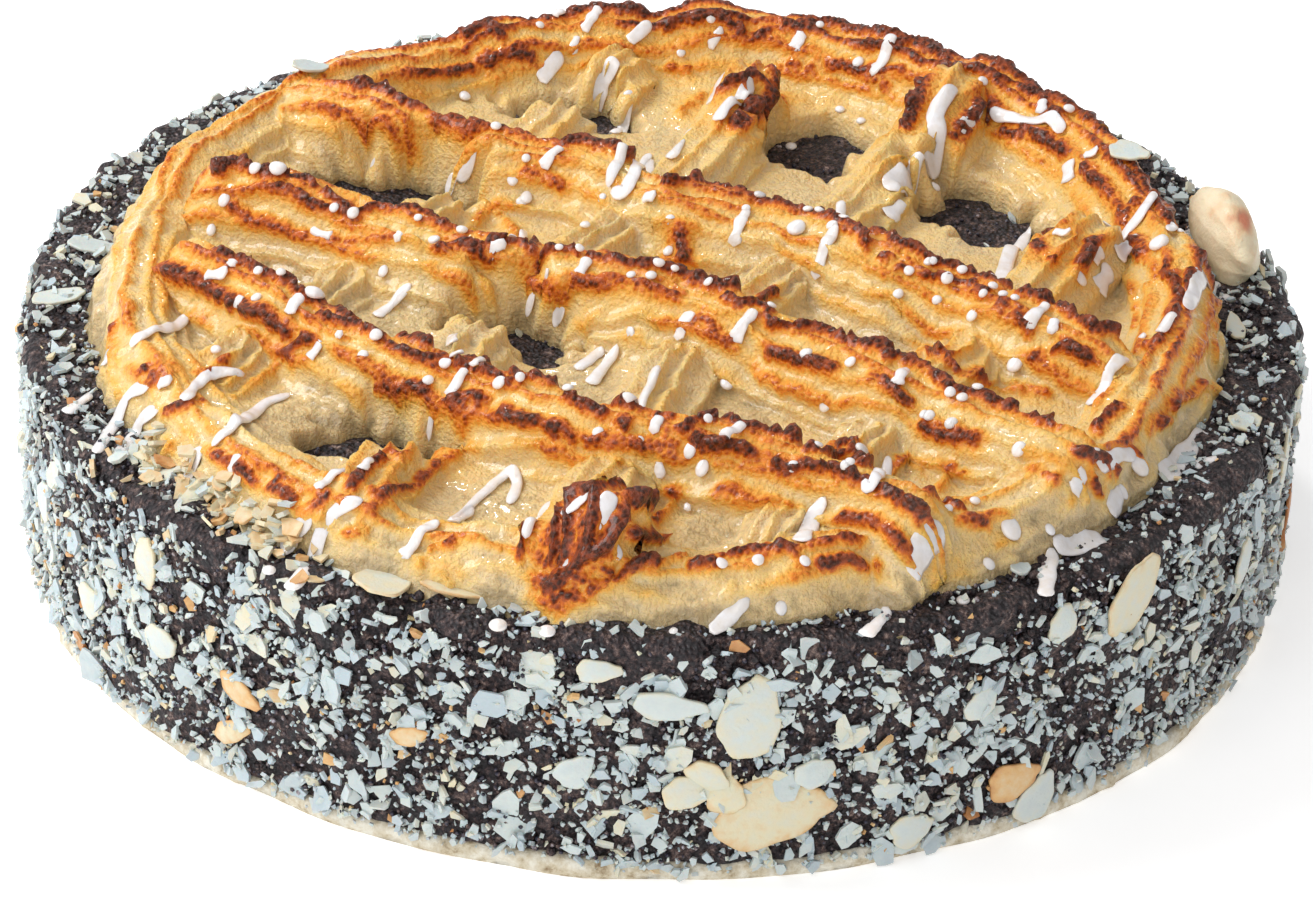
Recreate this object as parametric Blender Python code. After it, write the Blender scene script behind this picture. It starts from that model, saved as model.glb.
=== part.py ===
"""Poppy seed cake with a piped almond lattice, on a thin shortcrust disc.

Metres, +Z up. The origin is the middle of the flat underside, -Y is the side that faces the viewer.
From the bottom up: the crust disc, the dark poppy seed cake with almond flakes pressed on its side,
the lattice of star-piped almond paste that was baked on it, with its icing, and one pale lump of
dough on the rim. Every length below is in metres unless its name says otherwise.
"""

import math

import bmesh
import bpy
import numpy as np
from mathutils import Matrix, Vector
from mathutils.bvhtree import BVHTree

MM = 0.001
GAP = 0.3 * MM

CRUST_RADIUS = 129.4 * MM
CRUST_HEIGHT = 3.8 * MM
CRUST_EDGE_DRAW_IN = 1.0 * MM
CAKE_RADIUS = 128.2 * MM
CAKE_BOTTOM = CRUST_HEIGHT + GAP
CAKE_TOP = 52.0 * MM
RIM_ROUNDING = 2.6 * MM
ROUND_STEPS = 96
# Waves round the cake: how many times round, how far in or out, and the shift in radians.
CRUST_WAVES = ((7, 0.35 * MM, 0.4), (19, 0.3 * MM, 1.7), (31, 0.2 * MM, 2.9))
SIDE_WAVES = ((5, 0.3 * MM, 0.9), (13, 0.25 * MM, 2.2), (37, 0.2 * MM, 0.3))
CRUMBLE_WAVES = ((11, 0.4 * MM, 1.1), (23, 0.4 * MM, 0.2), (41, 0.3 * MM, 2.0))

LATTICE_FLOOR = CAKE_TOP + GAP
STAR_RIDGES = 5
STAR_DEPTH = 0.17
BLUNT_TIP = 0.3
STRIP_WAVE = 0.03
RING_RADIUS = 106.5 * MM
RING_STRETCH = 2.0 * MM
RING_FLAT_SIDE = 4.5 * MM
RING_FLAT_ANGLE = math.radians(120)
RING_HIGH_ANGLE = math.radians(72)
RING_WIDE_ANGLE = math.radians(42)
RING_WIDER_BY = 6.0 * MM
RING_CENTRE = (-1.0 * MM, -5.5 * MM)
RING_OUTER = 10.5 * MM
RING_INNER = 25.0 * MM
RING_BACK_HEIGHT = 17.0 * MM
RING_FRONT_HEIGHT = 9.5 * MM
RING_SIDE_WAVES = ((9, 0.7 * MM, 2.0),)
RING_OUTER_WAVES = ((17, 0.3 * MM, 0.6),)
RING_CREST_WAVES = ((14, 0.7 * MM, 0.8), (23, 0.6 * MM, 0.1), (30, 0.4 * MM, 1.0))
RING_STEPS = 60
STATION_STEP = 11.5 * MM

# Each strip of paste: its route over the top in millimetres, its half width, and its height at the
# start, on its way and at the end. The under strips are piped first, the over strips cross them.
UNDER_STRIPS = {
    "under_1": (((-10, 92), (-28, 56), (-60, -6), (-88, -55)), 13.0, (12.0, 11.5, 9.5)),
    "under_2": (((17, 72), (6, 40), (-34, -30), (-49, -80), (-58, -101)), 14.5, (18.5, 12.0, 10.0)),
    "under_3": (((62, 72), (43, 31), (6, -36), (-4, -70), (-14, -116)), 14.0, (19.0, 12.0, 14.0)),
    "under_4": (((87, 10), (68, -22), (42, -66), (20, -106)), 13.0, (17.0, 12.0, 10.0)),
}
OVER_STRIPS = {
    "over_1": (((-80, 62), (-42, 40), (0, 20), (45, -3), (94, -44)), 14.0, (14.5, 17.5, 14.0)),
    "over_2": (((-93, 16), (-56, 2), (-2, -14), (40, -50), (80, -80)), 14.5, (19.0, 18.5, 15.0)),
    "over_3": (((-98, -20), (-60, -46), (-28, -62), (4, -73), (54, -92)), 15.0, (18.0, 17.5, 18.0)),
}

FLAKE_THICKNESS = 1.2 * MM
FLAKE_LIFT = 0.2 * MM
WHOLE_FLAKES = 26
CHIPS = 98
RIM_FLAKES = 12
GOLDEN_TURN = math.pi * (3.0 - math.sqrt(5.0))

LUMP_ANGLE = math.radians(13.0)
LUMP_RADIUS = 118.9 * MM
LUMP_HALF_LENGTH = 15.5 * MM
LUMP_HALF_WIDTH = 5.4 * MM
LUMP_HEIGHT = 13.5 * MM
LUMP_NOTCH = 1.8 * MM
LUMP_STEPS = 20
# Cross-sections of the lump from its foot to its top: share of the height, share of the width.
LUMP_LEVELS = ((0.0, 0.86), (0.3, 1.0), (0.62, 0.93), (0.86, 0.66))

ICING_RADIUS = 1.3 * MM
STROKE_SHARES = (0.0, 0.25, 0.5, 0.75, 1.0)
STROKE_SIZES = (0.6, 1.0, 0.85, 1.0, 0.7)
# Icing strokes: where each starts and ends on the top, in millimetres.
ICING_STROKES = (
    ((-30, 74), (-25, 88)), ((-16, 60), (-12, 84)), ((-12, 46), (-5, 64)), ((7, 52), (12, 68)),
    ((26, 78), (30, 94)), ((48, 76), (52, 92)), ((45, 24), (54, 48)), ((56, 48), (62, 66)),
    ((82, 36), (90, 50)), ((-45, 22), (-40, 42)), ((14, -4), (18, 12)), ((29, -14), (35, 6)),
    ((90, 0), (98, 16)), ((98, -26), (106, -10)), ((14, -44), (19, -30)), ((-12, -58), (-6, -44)),
    ((-70, -58), (-64, -44)), ((80, -60), (90, -44)), ((-94, -46), (-84, -34)), ((-104, -58), (-98, -46)),
    ((-98, -74), (-90, -60)), ((-82, -86), (-72, -70)), ((-40, -90), (-26, -80)), ((-58, -100), (-52, -84)),
    ((-44, -112), (-38, -98)), ((-14, -114), (-5, -96)), ((28, -104), (35, -90)), ((48, -110), (56, -96)),
    ((84, -80), (94, -66)), ((40, -90), (45, -78)),
)
ICING_DROPS = 26
ICING_SPREAD = 105.0 * MM
DROP_RADIUS = 1.7 * MM
ICING_SEED = 5
FLAKE_SEED = 11


def food_material(name, colour, roughness):
    """A plain Principled material of one colour."""
    material = bpy.data.materials.new(name)
    material.use_nodes = True
    shader = material.node_tree.nodes["Principled BSDF"]
    shader.inputs["Base Color"].default_value = (*colour, 1.0)
    shader.inputs["Roughness"].default_value = roughness
    material.diffuse_color = (*colour, 1.0)
    return material


def mesh_object(name, points, faces, material=None):
    """A new object from corner points and faces, shaded smooth up to a sharp angle."""
    mesh = bpy.data.meshes.new(name)
    mesh.from_pydata([tuple(map(float, point)) for point in points], [], faces)
    mesh.validate()
    mesh.shade_smooth()
    mesh.set_sharp_from_angle(angle=math.radians(40))
    if material is not None:
        mesh.materials.append(material)
    obj = bpy.data.objects.new(name, mesh)
    bpy.context.scene.collection.objects.link(obj)
    return obj


def ripple(angle, waves):
    """A sum of sines round the cake: each wave is (times round, height, shift in radians)."""
    return sum(height * np.sin(times * angle + shift) for times, height, shift in waves)


def near_angle(angle, centre, reach):
    """A smooth hump, 1 at the centre angle and falling off over the reach, in radians."""
    return np.exp(-(((angle - centre) / reach) ** 2))


# --- turned pieces: the crust disc and the cake -------------------------------------------------


def turned_solid(name, rings, centre_low, centre_high, material):
    """A closed round body from rings of points, lowest first, with a fan over each end."""
    steps = len(rings[0])
    points = [point for ring in rings for point in ring] + [centre_low, centre_high]
    low, high = len(points) - 2, len(points) - 1
    faces = []
    top = (len(rings) - 1) * steps
    for below in range(0, top, steps):
        above = below + steps
        for i in range(steps):
            j = (i + 1) % steps
            faces.append((below + i, below + j, above + j, above + i))
    for i in range(steps):
        j = (i + 1) % steps
        faces.append((low, j, i))
        faces.append((high, top + i, top + j))
    return mesh_object(name, points, faces, material)


def ring_points(angle, radius, height):
    """One ring of a turned solid, where radius and height may change round the cake."""
    height = np.broadcast_to(height, angle.shape)
    return np.stack([radius * np.cos(angle), radius * np.sin(angle), height], axis=1)


def make_base_crust():
    """The thin shortcrust disc, cut a little uneven, with a crumbly edge."""
    angle = np.linspace(0.0, 2.0 * math.pi, ROUND_STEPS, endpoint=False)
    edge = CRUST_RADIUS + ripple(angle, CRUST_WAVES)
    rings = [
        ring_points(angle, edge - CRUST_EDGE_DRAW_IN, 0.0),
        ring_points(angle, edge, 0.4 * CRUST_HEIGHT),
        ring_points(angle, edge - CRUST_EDGE_DRAW_IN, CRUST_HEIGHT),
    ]
    crust = food_material("shortcrust", (0.66, 0.55, 0.38), 0.8)
    return turned_solid("base_crust", rings, (0, 0, 0), (0, 0, CRUST_HEIGHT), crust)


def side_radius(angle):
    """Radius of the cake's rough side at an angle."""
    return CAKE_RADIUS + ripple(angle, SIDE_WAVES)


def make_cake_body():
    """The dark cake: a low drum with a rough side and a crumbled upper edge."""
    angle = np.linspace(0.0, 2.0 * math.pi, ROUND_STEPS, endpoint=False)
    side = side_radius(angle)
    crumble = ripple(angle, CRUMBLE_WAVES)
    rings = [
        ring_points(angle, side - 0.8 * MM, CAKE_BOTTOM),
        ring_points(angle, side, CAKE_BOTTOM + 3.0 * MM),
        ring_points(angle, side + 0.2 * MM, 0.55 * CAKE_TOP),
        ring_points(angle, side - 0.4 * MM + crumble, CAKE_TOP - RIM_ROUNDING),
        ring_points(angle, side - RIM_ROUNDING + crumble, CAKE_TOP - 0.3 * MM),
        ring_points(angle, side - 2.2 * RIM_ROUNDING, CAKE_TOP),
    ]
    dark = food_material("poppy_cake", (0.035, 0.025, 0.03), 0.7)
    return turned_solid("poppy_cake", rings, (0, 0, CAKE_BOTTOM), (0, 0, CAKE_TOP), dark)


# --- almond flakes on the cake --------------------------------------------------------------------


def flake(name, place, outward, up, length, width, corners, rng):
    """A thin oval or broken plate of almond, lying flat against the surface it is pressed on."""
    across = up.cross(outward).normalized()
    along = outward.cross(across).normalized()
    turn = np.sort((np.arange(corners) + rng.uniform(-0.28, 0.28, corners)) * 2.0 * math.pi / corners)
    reach = rng.uniform(0.84, 1.0, corners)
    points = []
    for layer in (-0.5, 0.5):
        for angle, far in zip(turn, reach):
            flat = along * (0.5 * length * math.cos(angle)) + across * (0.5 * width * math.sin(angle))
            points.append(place + flat * far + outward * (layer * FLAKE_THICKNESS))
    faces = [tuple(reversed(range(corners))), tuple(range(corners, 2 * corners))]
    for i in range(corners):
        j = (i + 1) % corners
        faces.append((i, j, corners + j, corners + i))
    return outward_facing(mesh_object(name, points, faces, bpy.data.materials["almond_flake"]))


def outward_facing(obj):
    """Turns a closed mesh right side out when its signed volume is negative."""
    mesh = obj.data
    mesh.calc_loop_triangles()
    corners = np.array([[mesh.vertices[i].co[:] for i in tri.vertices] for tri in mesh.loop_triangles])
    if np.linalg.det(corners - corners.mean(axis=(0, 1))).sum() < 0:
        mesh.flip_normals()
    return obj


def side_flake(name, angle, height, length, width, corners, rng):
    """A flake pressed on the cake's side, turned at random and tipped a little off it."""
    out = Vector((math.cos(angle), math.sin(angle), 0.0))
    tip = Matrix.Rotation(rng.uniform(-0.12, 0.12), 3, Vector((0, 0, 1)))
    lean = Matrix.Rotation(rng.uniform(-0.14, 0.14), 3, out.cross(Vector((0, 0, 1))))
    outward = (tip @ lean @ out).normalized()
    up = Matrix.Rotation(rng.uniform(0, math.pi), 3, outward) @ Vector((0, 0, 1))
    place = out * (side_radius(angle) + FLAKE_LIFT) + Vector((0, 0, height))
    return flake(name, place, outward, up, length, width, corners, rng)


def side_flakes(rng):
    """Whole flakes and broken chips spread evenly round the side, the whole ones first."""
    made = []
    low, high = CAKE_BOTTOM + 1.0 * MM, CAKE_TOP - 3.5 * MM
    for k in range(WHOLE_FLAKES + CHIPS):
        whole = k < WHOLE_FLAKES
        length = rng.uniform(13.0, 18.0) * MM if whole else rng.uniform(5.5, 10.0) * MM
        width = length * (rng.uniform(0.55, 0.7) if whole else rng.uniform(0.5, 0.9))
        reach = 0.5 * length
        count, index = (WHOLE_FLAKES, k) if whole else (CHIPS, k - WHOLE_FLAKES)
        level = (index * 0.618034 + 0.5 * (not whole)) % 1.0
        height = low + reach + level * (high - low - 2.0 * reach)
        angle = 2.0 * math.pi * (index + rng.uniform(-0.2, 0.2)) / count + 0.03 * (not whole)
        made.append(side_flake(f"flake_{k}", angle, height, length, width, 8 if whole else 6, rng))
    return made


def rim_flakes(rng):
    """Small flakes that lie over the upper edge, most of them at the left of the front."""
    made = []
    for k in range(RIM_FLAKES):
        angle = math.radians(197 + 52 * k / (RIM_FLAKES - 1) + rng.uniform(-2, 2))
        out = Vector((math.cos(angle), math.sin(angle), 0.0))
        outward = (out + Vector((0, 0, rng.uniform(0.8, 1.6)))).normalized()
        up = Matrix.Rotation(rng.uniform(0, math.pi), 3, outward) @ Vector((0, 0, 1))
        place = out * (CAKE_RADIUS - 1.6 * MM) + Vector((0, 0, CAKE_TOP - 1.0 * MM))
        length = rng.uniform(4.0, 6.0) * MM
        made.append(flake(f"rim_flake_{k}", place, outward, up, length, 0.65 * length, 6, rng))
    return made


def make_poppy_cake():
    """The cake with its flakes joined to it as one solid."""
    rng = np.random.default_rng(FLAKE_SEED)
    food_material("almond_flake", (0.68, 0.67, 0.55), 0.6)
    cake = make_cake_body()
    return fused(cake, side_flakes(rng) + rim_flakes(rng))


# --- the piped lattice ----------------------------------------------------------------------------


def star_section():
    """Unit outline of star-piped paste, flat below and ridged above: across -1..1, up 0..1."""
    turn = np.linspace(0.0, math.pi, 2 * STAR_RIDGES + 1)
    reach = np.where(np.arange(turn.size) % 2 == 1, 1.0, 1.0 - STAR_DEPTH)
    return np.stack([np.cos(turn) * reach, np.sin(turn) ** 0.8 * reach], axis=1)


def smooth_route(corners, step):
    """Points about one step apart on a smooth curve through the given corners (Catmull-Rom)."""
    knots = np.array(corners, float) * MM
    ends = np.vstack([2 * knots[0] - knots[1], knots, 2 * knots[-1] - knots[-2]])
    route = []
    for a, b, c, d in zip(ends, ends[1:], ends[2:], ends[3:]):
        count = max(2, round(np.linalg.norm(c - b) / step))
        t = (np.arange(count) / count)[:, None]
        cubic = 2 * b + (c - a) * t + (2 * a - 5 * b + 4 * c - d) * t**2 + (3 * b - a - 3 * c + d) * t**3
        route.append(0.5 * cubic)
    return np.vstack([*route, knots[-1:]])


def piped(name, route, left, right, height, closed, material=None):
    """Sweeps the star section along a route on the cake's top, closing an open end with a blunt tip.

    The crest follows the route; left and right are how far the paste spreads from it on each side.
    """
    along = np.roll(route, -1, axis=0) - np.roll(route, 1, axis=0)
    if not closed:
        along[0], along[-1] = route[1] - route[0], route[-1] - route[-2]
    along /= np.linalg.norm(along, axis=1)[:, None]
    across = np.stack([-along[:, 1], along[:, 0]], axis=1)
    section = star_section()
    spread = np.where(section[None, :, 0] > 0, left[:, None], right[:, None]) * section[None, :, 0]
    flat = route[:, None, :] + across[:, None, :] * spread[..., None]
    lift = LATTICE_FLOOR + section[None, :, 1] * height[:, None]
    points = list(np.concatenate([flat, lift[..., None]], axis=2).reshape(-1, 3))
    size, count = len(section), len(route)
    faces = []
    for i in range(count if closed else count - 1):
        j = (i + 1) % count
        for k in range(size):
            m = (k + 1) % size
            faces.append((i * size + k, i * size + m, j * size + m, j * size + k))
    if not closed:
        for end, sign in ((0, -1.0), (count - 1, 1.0)):
            tip = route[end] + along[end] * (BLUNT_TIP * left[end] * sign)
            points.append(np.append(tip, LATTICE_FLOOR + 0.4 * height[end]))
            for k in range(size):
                pair = (end * size + k, end * size + (k + 1) % size)
                faces.append((len(points) - 1, *(pair if sign > 0 else pair[::-1])))
    return outward_facing(mesh_object(name, points, faces, material))


def make_ring(material):
    """The piped ring: high and wavy at the back, lower and wider spread at the front."""
    angle = np.linspace(0.0, 2.0 * math.pi, RING_STEPS, endpoint=False)
    radius = RING_RADIUS - RING_STRETCH * np.cos(2.0 * angle) + ripple(angle, RING_SIDE_WAVES)
    radius -= RING_FLAT_SIDE * near_angle(angle, RING_FLAT_ANGLE, 0.42)
    route = np.stack([radius * np.cos(angle), radius * np.sin(angle)], axis=1) + np.array(RING_CENTRE)
    back = 0.5 + 0.5 * np.cos(angle - RING_HIGH_ANGLE)
    height = RING_FRONT_HEIGHT + (RING_BACK_HEIGHT - RING_FRONT_HEIGHT) * back
    height = height + ripple(angle, RING_CREST_WAVES)
    outer = RING_OUTER - LUMP_NOTCH * near_angle(angle, LUMP_ANGLE, 0.16) + ripple(angle, RING_OUTER_WAVES)
    inner = RING_INNER + RING_WIDER_BY * near_angle(angle, RING_WIDE_ANGLE, 0.4)
    return piped("piped_lattice", route, inner, outer, height, True, material)


def make_strip(name, corners, half_width, heights):
    """One strip of the lattice, with the wave of a hand-held piping bag and a blunt end."""
    route = smooth_route(corners, STATION_STEP)
    share = np.linspace(0.0, 1.0, len(route))
    start, middle, end = (value * MM for value in heights)
    height = np.interp(share, (0.0, 0.16, 0.84, 1.0), (start, middle, middle, end))
    wave = np.where(np.arange(len(route)) % 2 == 0, 1.0, -1.0)
    height = height * (1.0 + STRIP_WAVE * wave)
    width = half_width * MM * (1.0 - 0.7 * STRIP_WAVE * wave)
    width[[0, -1]] *= 0.85
    return piped(name, route, width, width, height, False)


def top_of(trees, x, y):
    """Height of the highest surface at a place on the top, or None over bare cake."""
    found = [tree.ray_cast(Vector((x, y, 0.2)), Vector((0, 0, -1)))[0] for tree in trees]
    heights = [hit.z for hit in found if hit is not None]
    return max(heights) if heights else None


def icing_stroke(name, start, end, trees):
    """A thin ridge of icing that follows the paste under it, pointed at both ends."""
    places = [Vector(start).lerp(Vector(end), share) * MM for share in STROKE_SHARES]
    tops = [top_of(trees, place.x, place.y) for place in places]
    if None in tops:
        return None
    for k in range(1, len(tops) - 1):
        tops[k] = max(tops[k], 0.5 * (tops[k - 1] + tops[k + 1]) - ICING_RADIUS)
    across = (places[-1] - places[0]).orthogonal().normalized()
    points, faces = [], []
    for place, top, size in zip(places, tops, STROKE_SIZES):
        for side, lift in ((1.0, -0.4), (0.55, 0.75), (-0.55, 0.75), (-1.0, -0.4)):
            flat = place + across * (side * size * ICING_RADIUS)
            points.append((flat.x, flat.y, top + lift * size * ICING_RADIUS))
    last = 4 * (len(places) - 1)
    for i in range(0, last, 4):
        for k in range(4):
            m = (k + 1) % 4
            faces.append((i + k, i + m, i + 4 + m, i + 4 + k))
    faces += [(3, 2, 1, 0), (last, last + 1, last + 2, last + 3)]
    return outward_facing(mesh_object(name, points, faces, bpy.data.materials["icing"]))


def icing_drop(name, x, y, radius, trees):
    """A round drop of icing: a flattened six-sided bead, or nothing over bare cake."""
    top = top_of(trees, x, y)
    if top is None:
        return None
    points = [(x, y, top - 0.6 * radius), (x, y, top + 0.6 * radius)]
    for k in range(6):
        turn = k * math.pi / 3.0
        points.append((x + radius * math.cos(turn), y + radius * math.sin(turn), top))
    faces = []
    for k in range(6):
        j = (k + 1) % 6
        faces += [(0, 2 + j, 2 + k), (1, 2 + k, 2 + j)]
    return outward_facing(mesh_object(name, points, faces, bpy.data.materials["icing"]))


def make_icing(carriers):
    """The strokes by their list, then drops spread over the top by the golden turn."""
    trees = [tree_of(obj) for obj in carriers]
    rng = np.random.default_rng(ICING_SEED)
    made = [icing_stroke(f"stroke_{k}", *ends, trees) for k, ends in enumerate(ICING_STROKES)]
    for k in range(ICING_DROPS):
        reach = ICING_SPREAD * math.sqrt((k + 0.5) / ICING_DROPS)
        turn = k * GOLDEN_TURN
        x = reach * math.cos(turn) + rng.uniform(-3, 3) * MM
        y = reach * math.sin(turn) + RING_CENTRE[1] + rng.uniform(-3, 3) * MM
        made.append(icing_drop(f"drop_{k}", x, y, DROP_RADIUS * rng.uniform(0.7, 1.1), trees))
    return [obj for obj in made if obj is not None]


def tree_of(obj):
    """A search tree of an object's mesh, for finding the surface under a place."""
    corners = [vertex.co[:] for vertex in obj.data.vertices]
    return BVHTree.FromPolygons(corners, [face.vertices[:] for face in obj.data.polygons])


def make_piped_lattice():
    """The ring, the under and over strips and the thick icing, baked and set as one piece."""
    paste = food_material("almond_paste", (0.72, 0.47, 0.2), 0.45)
    food_material("icing", (0.85, 0.84, 0.86), 0.3)
    ring = make_ring(paste)
    strips = [make_strip(name, *shape) for name, shape in {**UNDER_STRIPS, **OVER_STRIPS}.items()]
    icing = make_icing([ring, *strips])
    return fused(ring, strips + icing)


# --- the lump on the rim --------------------------------------------------------------------------


def make_rim_lump():
    """A pale bean of dough that stands on the rim just outside the ring, at the right of the back."""
    turn = np.linspace(0.0, 2.0 * math.pi, LUMP_STEPS, endpoint=False)
    to_place = Matrix.Rotation(LUMP_ANGLE, 3, "Z")
    rings = []
    for level, size in LUMP_LEVELS:
        bump = size * (1.0 + ripple(turn + 2.0 * level, ((2, 0.05, 0.6), (3, 0.05, 1.9))))
        wide = LUMP_HALF_WIDTH * bump * np.cos(turn)
        long = LUMP_HALF_LENGTH * bump * np.sin(turn)
        bent = LUMP_RADIUS + wide - long**2 / (2.0 * LUMP_RADIUS)
        lift = np.full(LUMP_STEPS, LATTICE_FLOOR + LUMP_HEIGHT * level)
        rings.append([to_place @ Vector(point) for point in zip(bent, long, lift)])
    low = to_place @ Vector((LUMP_RADIUS, 0.0, LATTICE_FLOOR))
    high = low + Vector((0.0, 0.0, LUMP_HEIGHT))
    dough = food_material("pale_dough", (0.78, 0.66, 0.46), 0.6)
    return turned_solid("rim_lump", rings, low, high, dough)


# --- joining --------------------------------------------------------------------------------------


def keep_largest_body(mesh):
    """Drops loose scraps and the walls of sealed hollows, so that only the largest body stays."""
    bm = bmesh.new()
    bm.from_mesh(mesh)
    left, bodies = set(bm.verts), []
    while left:
        body, edge_of_body = set(), [left.pop()]
        while edge_of_body:
            corner = edge_of_body.pop()
            body.add(corner)
            near = {edge.other_vert(corner) for edge in corner.link_edges} & left
            left -= near
            edge_of_body.extend(near)
        bodies.append(body)
    largest = max(bodies, key=len)
    bmesh.ops.delete(bm, geom=[v for v in bm.verts if v not in largest], context="VERTS")
    bm.to_mesh(mesh)
    bm.free()


def fused(base, pieces):
    """Joins the pieces to the base in one Boolean union, applies it and removes the pieces."""
    toppings = bpy.data.collections.new(base.name + "_toppings")
    bpy.context.scene.collection.children.link(toppings)
    for piece in pieces:
        bpy.context.scene.collection.objects.unlink(piece)
        toppings.objects.link(piece)
    union = base.modifiers.new("join", "BOOLEAN")
    union.operation = "UNION"
    union.operand_type = "COLLECTION"
    union.collection = toppings
    union.solver = "MANIFOLD"
    union.material_mode = "TRANSFER"
    bpy.context.view_layer.update()
    graph = bpy.context.evaluated_depsgraph_get()
    joined = bpy.data.meshes.new_from_object(base.evaluated_get(graph))
    keep_largest_body(joined)
    base.modifiers.remove(union)
    old, base.data = base.data, joined
    joined.name = base.name
    bpy.data.meshes.remove(old)
    for piece in pieces:
        bpy.data.objects.remove(piece)
    bpy.data.collections.remove(toppings)
    return base


def main():
    for obj in list(bpy.data.objects):
        bpy.data.objects.remove(obj)
    make_base_crust()
    make_poppy_cake()
    make_piped_lattice()
    make_rim_lump()


main()
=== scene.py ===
# %% [markdown]
# # A poppy seed cake with a piped almond lattice
# The real cake is built from the bottom up: a thin shortcrust disc, a dark cake of ground poppy seed,
# almonds pressed on its side, almond paste piped over the top with a star nozzle, and thin icing drizzled
# over it all. The same order is followed here. First the measured solid model is loaded, because every
# piece below has to sit exactly where that model says.

# %% Load the measured model
import itertools

import bpy
import numpy as np
from mathutils import Matrix, Vector


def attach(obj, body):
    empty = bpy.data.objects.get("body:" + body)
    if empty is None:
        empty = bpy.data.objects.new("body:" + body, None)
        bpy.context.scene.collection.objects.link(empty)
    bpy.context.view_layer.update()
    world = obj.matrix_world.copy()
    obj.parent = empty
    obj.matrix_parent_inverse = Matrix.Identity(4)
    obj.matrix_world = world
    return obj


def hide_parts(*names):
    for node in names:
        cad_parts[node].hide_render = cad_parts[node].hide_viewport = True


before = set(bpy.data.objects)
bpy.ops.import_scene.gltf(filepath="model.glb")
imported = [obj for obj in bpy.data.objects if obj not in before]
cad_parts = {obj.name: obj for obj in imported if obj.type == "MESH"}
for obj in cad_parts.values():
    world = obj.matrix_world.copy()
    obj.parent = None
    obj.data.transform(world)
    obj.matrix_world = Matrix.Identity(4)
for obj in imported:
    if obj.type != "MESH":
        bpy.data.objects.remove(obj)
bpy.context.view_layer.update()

MM = 0.001

# %% [markdown]
# ## Camera
# The camera stands a metre away and looks down on the cake. It could be placed by eye, but here its pitch,
# focal length and a slight tilt were measured from the cake's rims, so that render and photo can be laid
# over each other. It comes first, because the icing is placed where the camera sees it.

# %% Camera at the photo's angle
PHOTO_WIDTH, PHOTO_HEIGHT = 1313, 900
CAMERA_PITCH = 0.550324
CAMERA_DISTANCE = 1.0
CAMERA_ROLL = 0.0377069
FOCAL_PIXELS = 4800.195
SENSOR_WIDTH = 36.0
LOOK_AT = Vector((0.000014, -0.023212, 0.030))

eye = Vector((0.0, -CAMERA_DISTANCE * np.cos(CAMERA_PITCH), CAMERA_DISTANCE * np.sin(CAMERA_PITCH)))
camera_forward = (LOOK_AT - eye).normalized()
level = camera_forward.cross(Vector((0, 0, 1))).normalized()
upward = level.cross(camera_forward).normalized()
camera_right = level * np.cos(CAMERA_ROLL) + upward * np.sin(CAMERA_ROLL)
camera_up = upward * np.cos(CAMERA_ROLL) - level * np.sin(CAMERA_ROLL)

camera_data = bpy.data.cameras.new("camera")
camera_data.sensor_fit = "HORIZONTAL"
camera_data.sensor_width = SENSOR_WIDTH
camera_data.lens = SENSOR_WIDTH * FOCAL_PIXELS / PHOTO_WIDTH
camera_data.clip_start = 0.05
camera = bpy.data.objects.new("camera", camera_data)
bpy.context.scene.collection.objects.link(camera)
camera_axes = Matrix((camera_right, camera_up, -camera_forward)).transposed().to_4x4()
camera.matrix_world = Matrix.Translation(eye) @ camera_axes
bpy.context.scene.camera = camera
print("lens", round(camera_data.lens, 2), "mm, camera at", [round(v, 3) for v in eye])

# %% [markdown]
# ## Sizes that the pieces share with the solid model
# A piece that replaces a solid has to fill the same space, so the radii, heights and waves of the solid
# model are repeated here under the same names. They could be read off its mesh, but named values are
# easier to follow and to change.

# %% Shared sizes
CRUST_RADIUS = 129.4 * MM
CRUST_HEIGHT = 3.8 * MM
CAKE_RADIUS = 128.2 * MM
CAKE_BOTTOM = 4.1 * MM
CAKE_TOP = 52.0 * MM
RIM_ROUNDING = 2.6 * MM
LATTICE_FLOOR = 52.3 * MM
# Waves round the cake: how many times round, how far in or out, and the shift in radians.
CRUST_WAVES = ((7, 0.35 * MM, 0.4), (19, 0.3 * MM, 1.7), (31, 0.2 * MM, 2.9))
SIDE_WAVES = ((5, 0.3 * MM, 0.9), (13, 0.25 * MM, 2.2), (37, 0.2 * MM, 0.3))
CRUMBLE_WAVES = ((11, 0.4 * MM, 1.1), (23, 0.4 * MM, 0.2), (41, 0.3 * MM, 2.0))

RING_RADIUS, RING_STRETCH = 106.5 * MM, 2.0 * MM
RING_CENTRE = np.array((-1.0, -5.5)) * MM
RING_OUTER, RING_INNER = 10.5 * MM, 25.0 * MM
RING_BACK_HEIGHT, RING_FRONT_HEIGHT = 17.0 * MM, 9.5 * MM
RING_CREST_WAVES = ((14, 0.7 * MM, 0.8), (23, 0.6 * MM, 0.1), (30, 0.4 * MM, 1.0))

print("cake", round(2000 * CAKE_RADIUS), "mm across and", round(1000 * CAKE_TOP), "mm high")

# %% [markdown]
# ## Noise
# Baked food is never even. Blender has noise for one point at a time and textures for shading, but the
# pieces here are whole arrays of points, so three kinds of noise are written for arrays: soft noise for
# slow changes, a sum of it for rough surfaces, and pebbles for grains and blisters.


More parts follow.
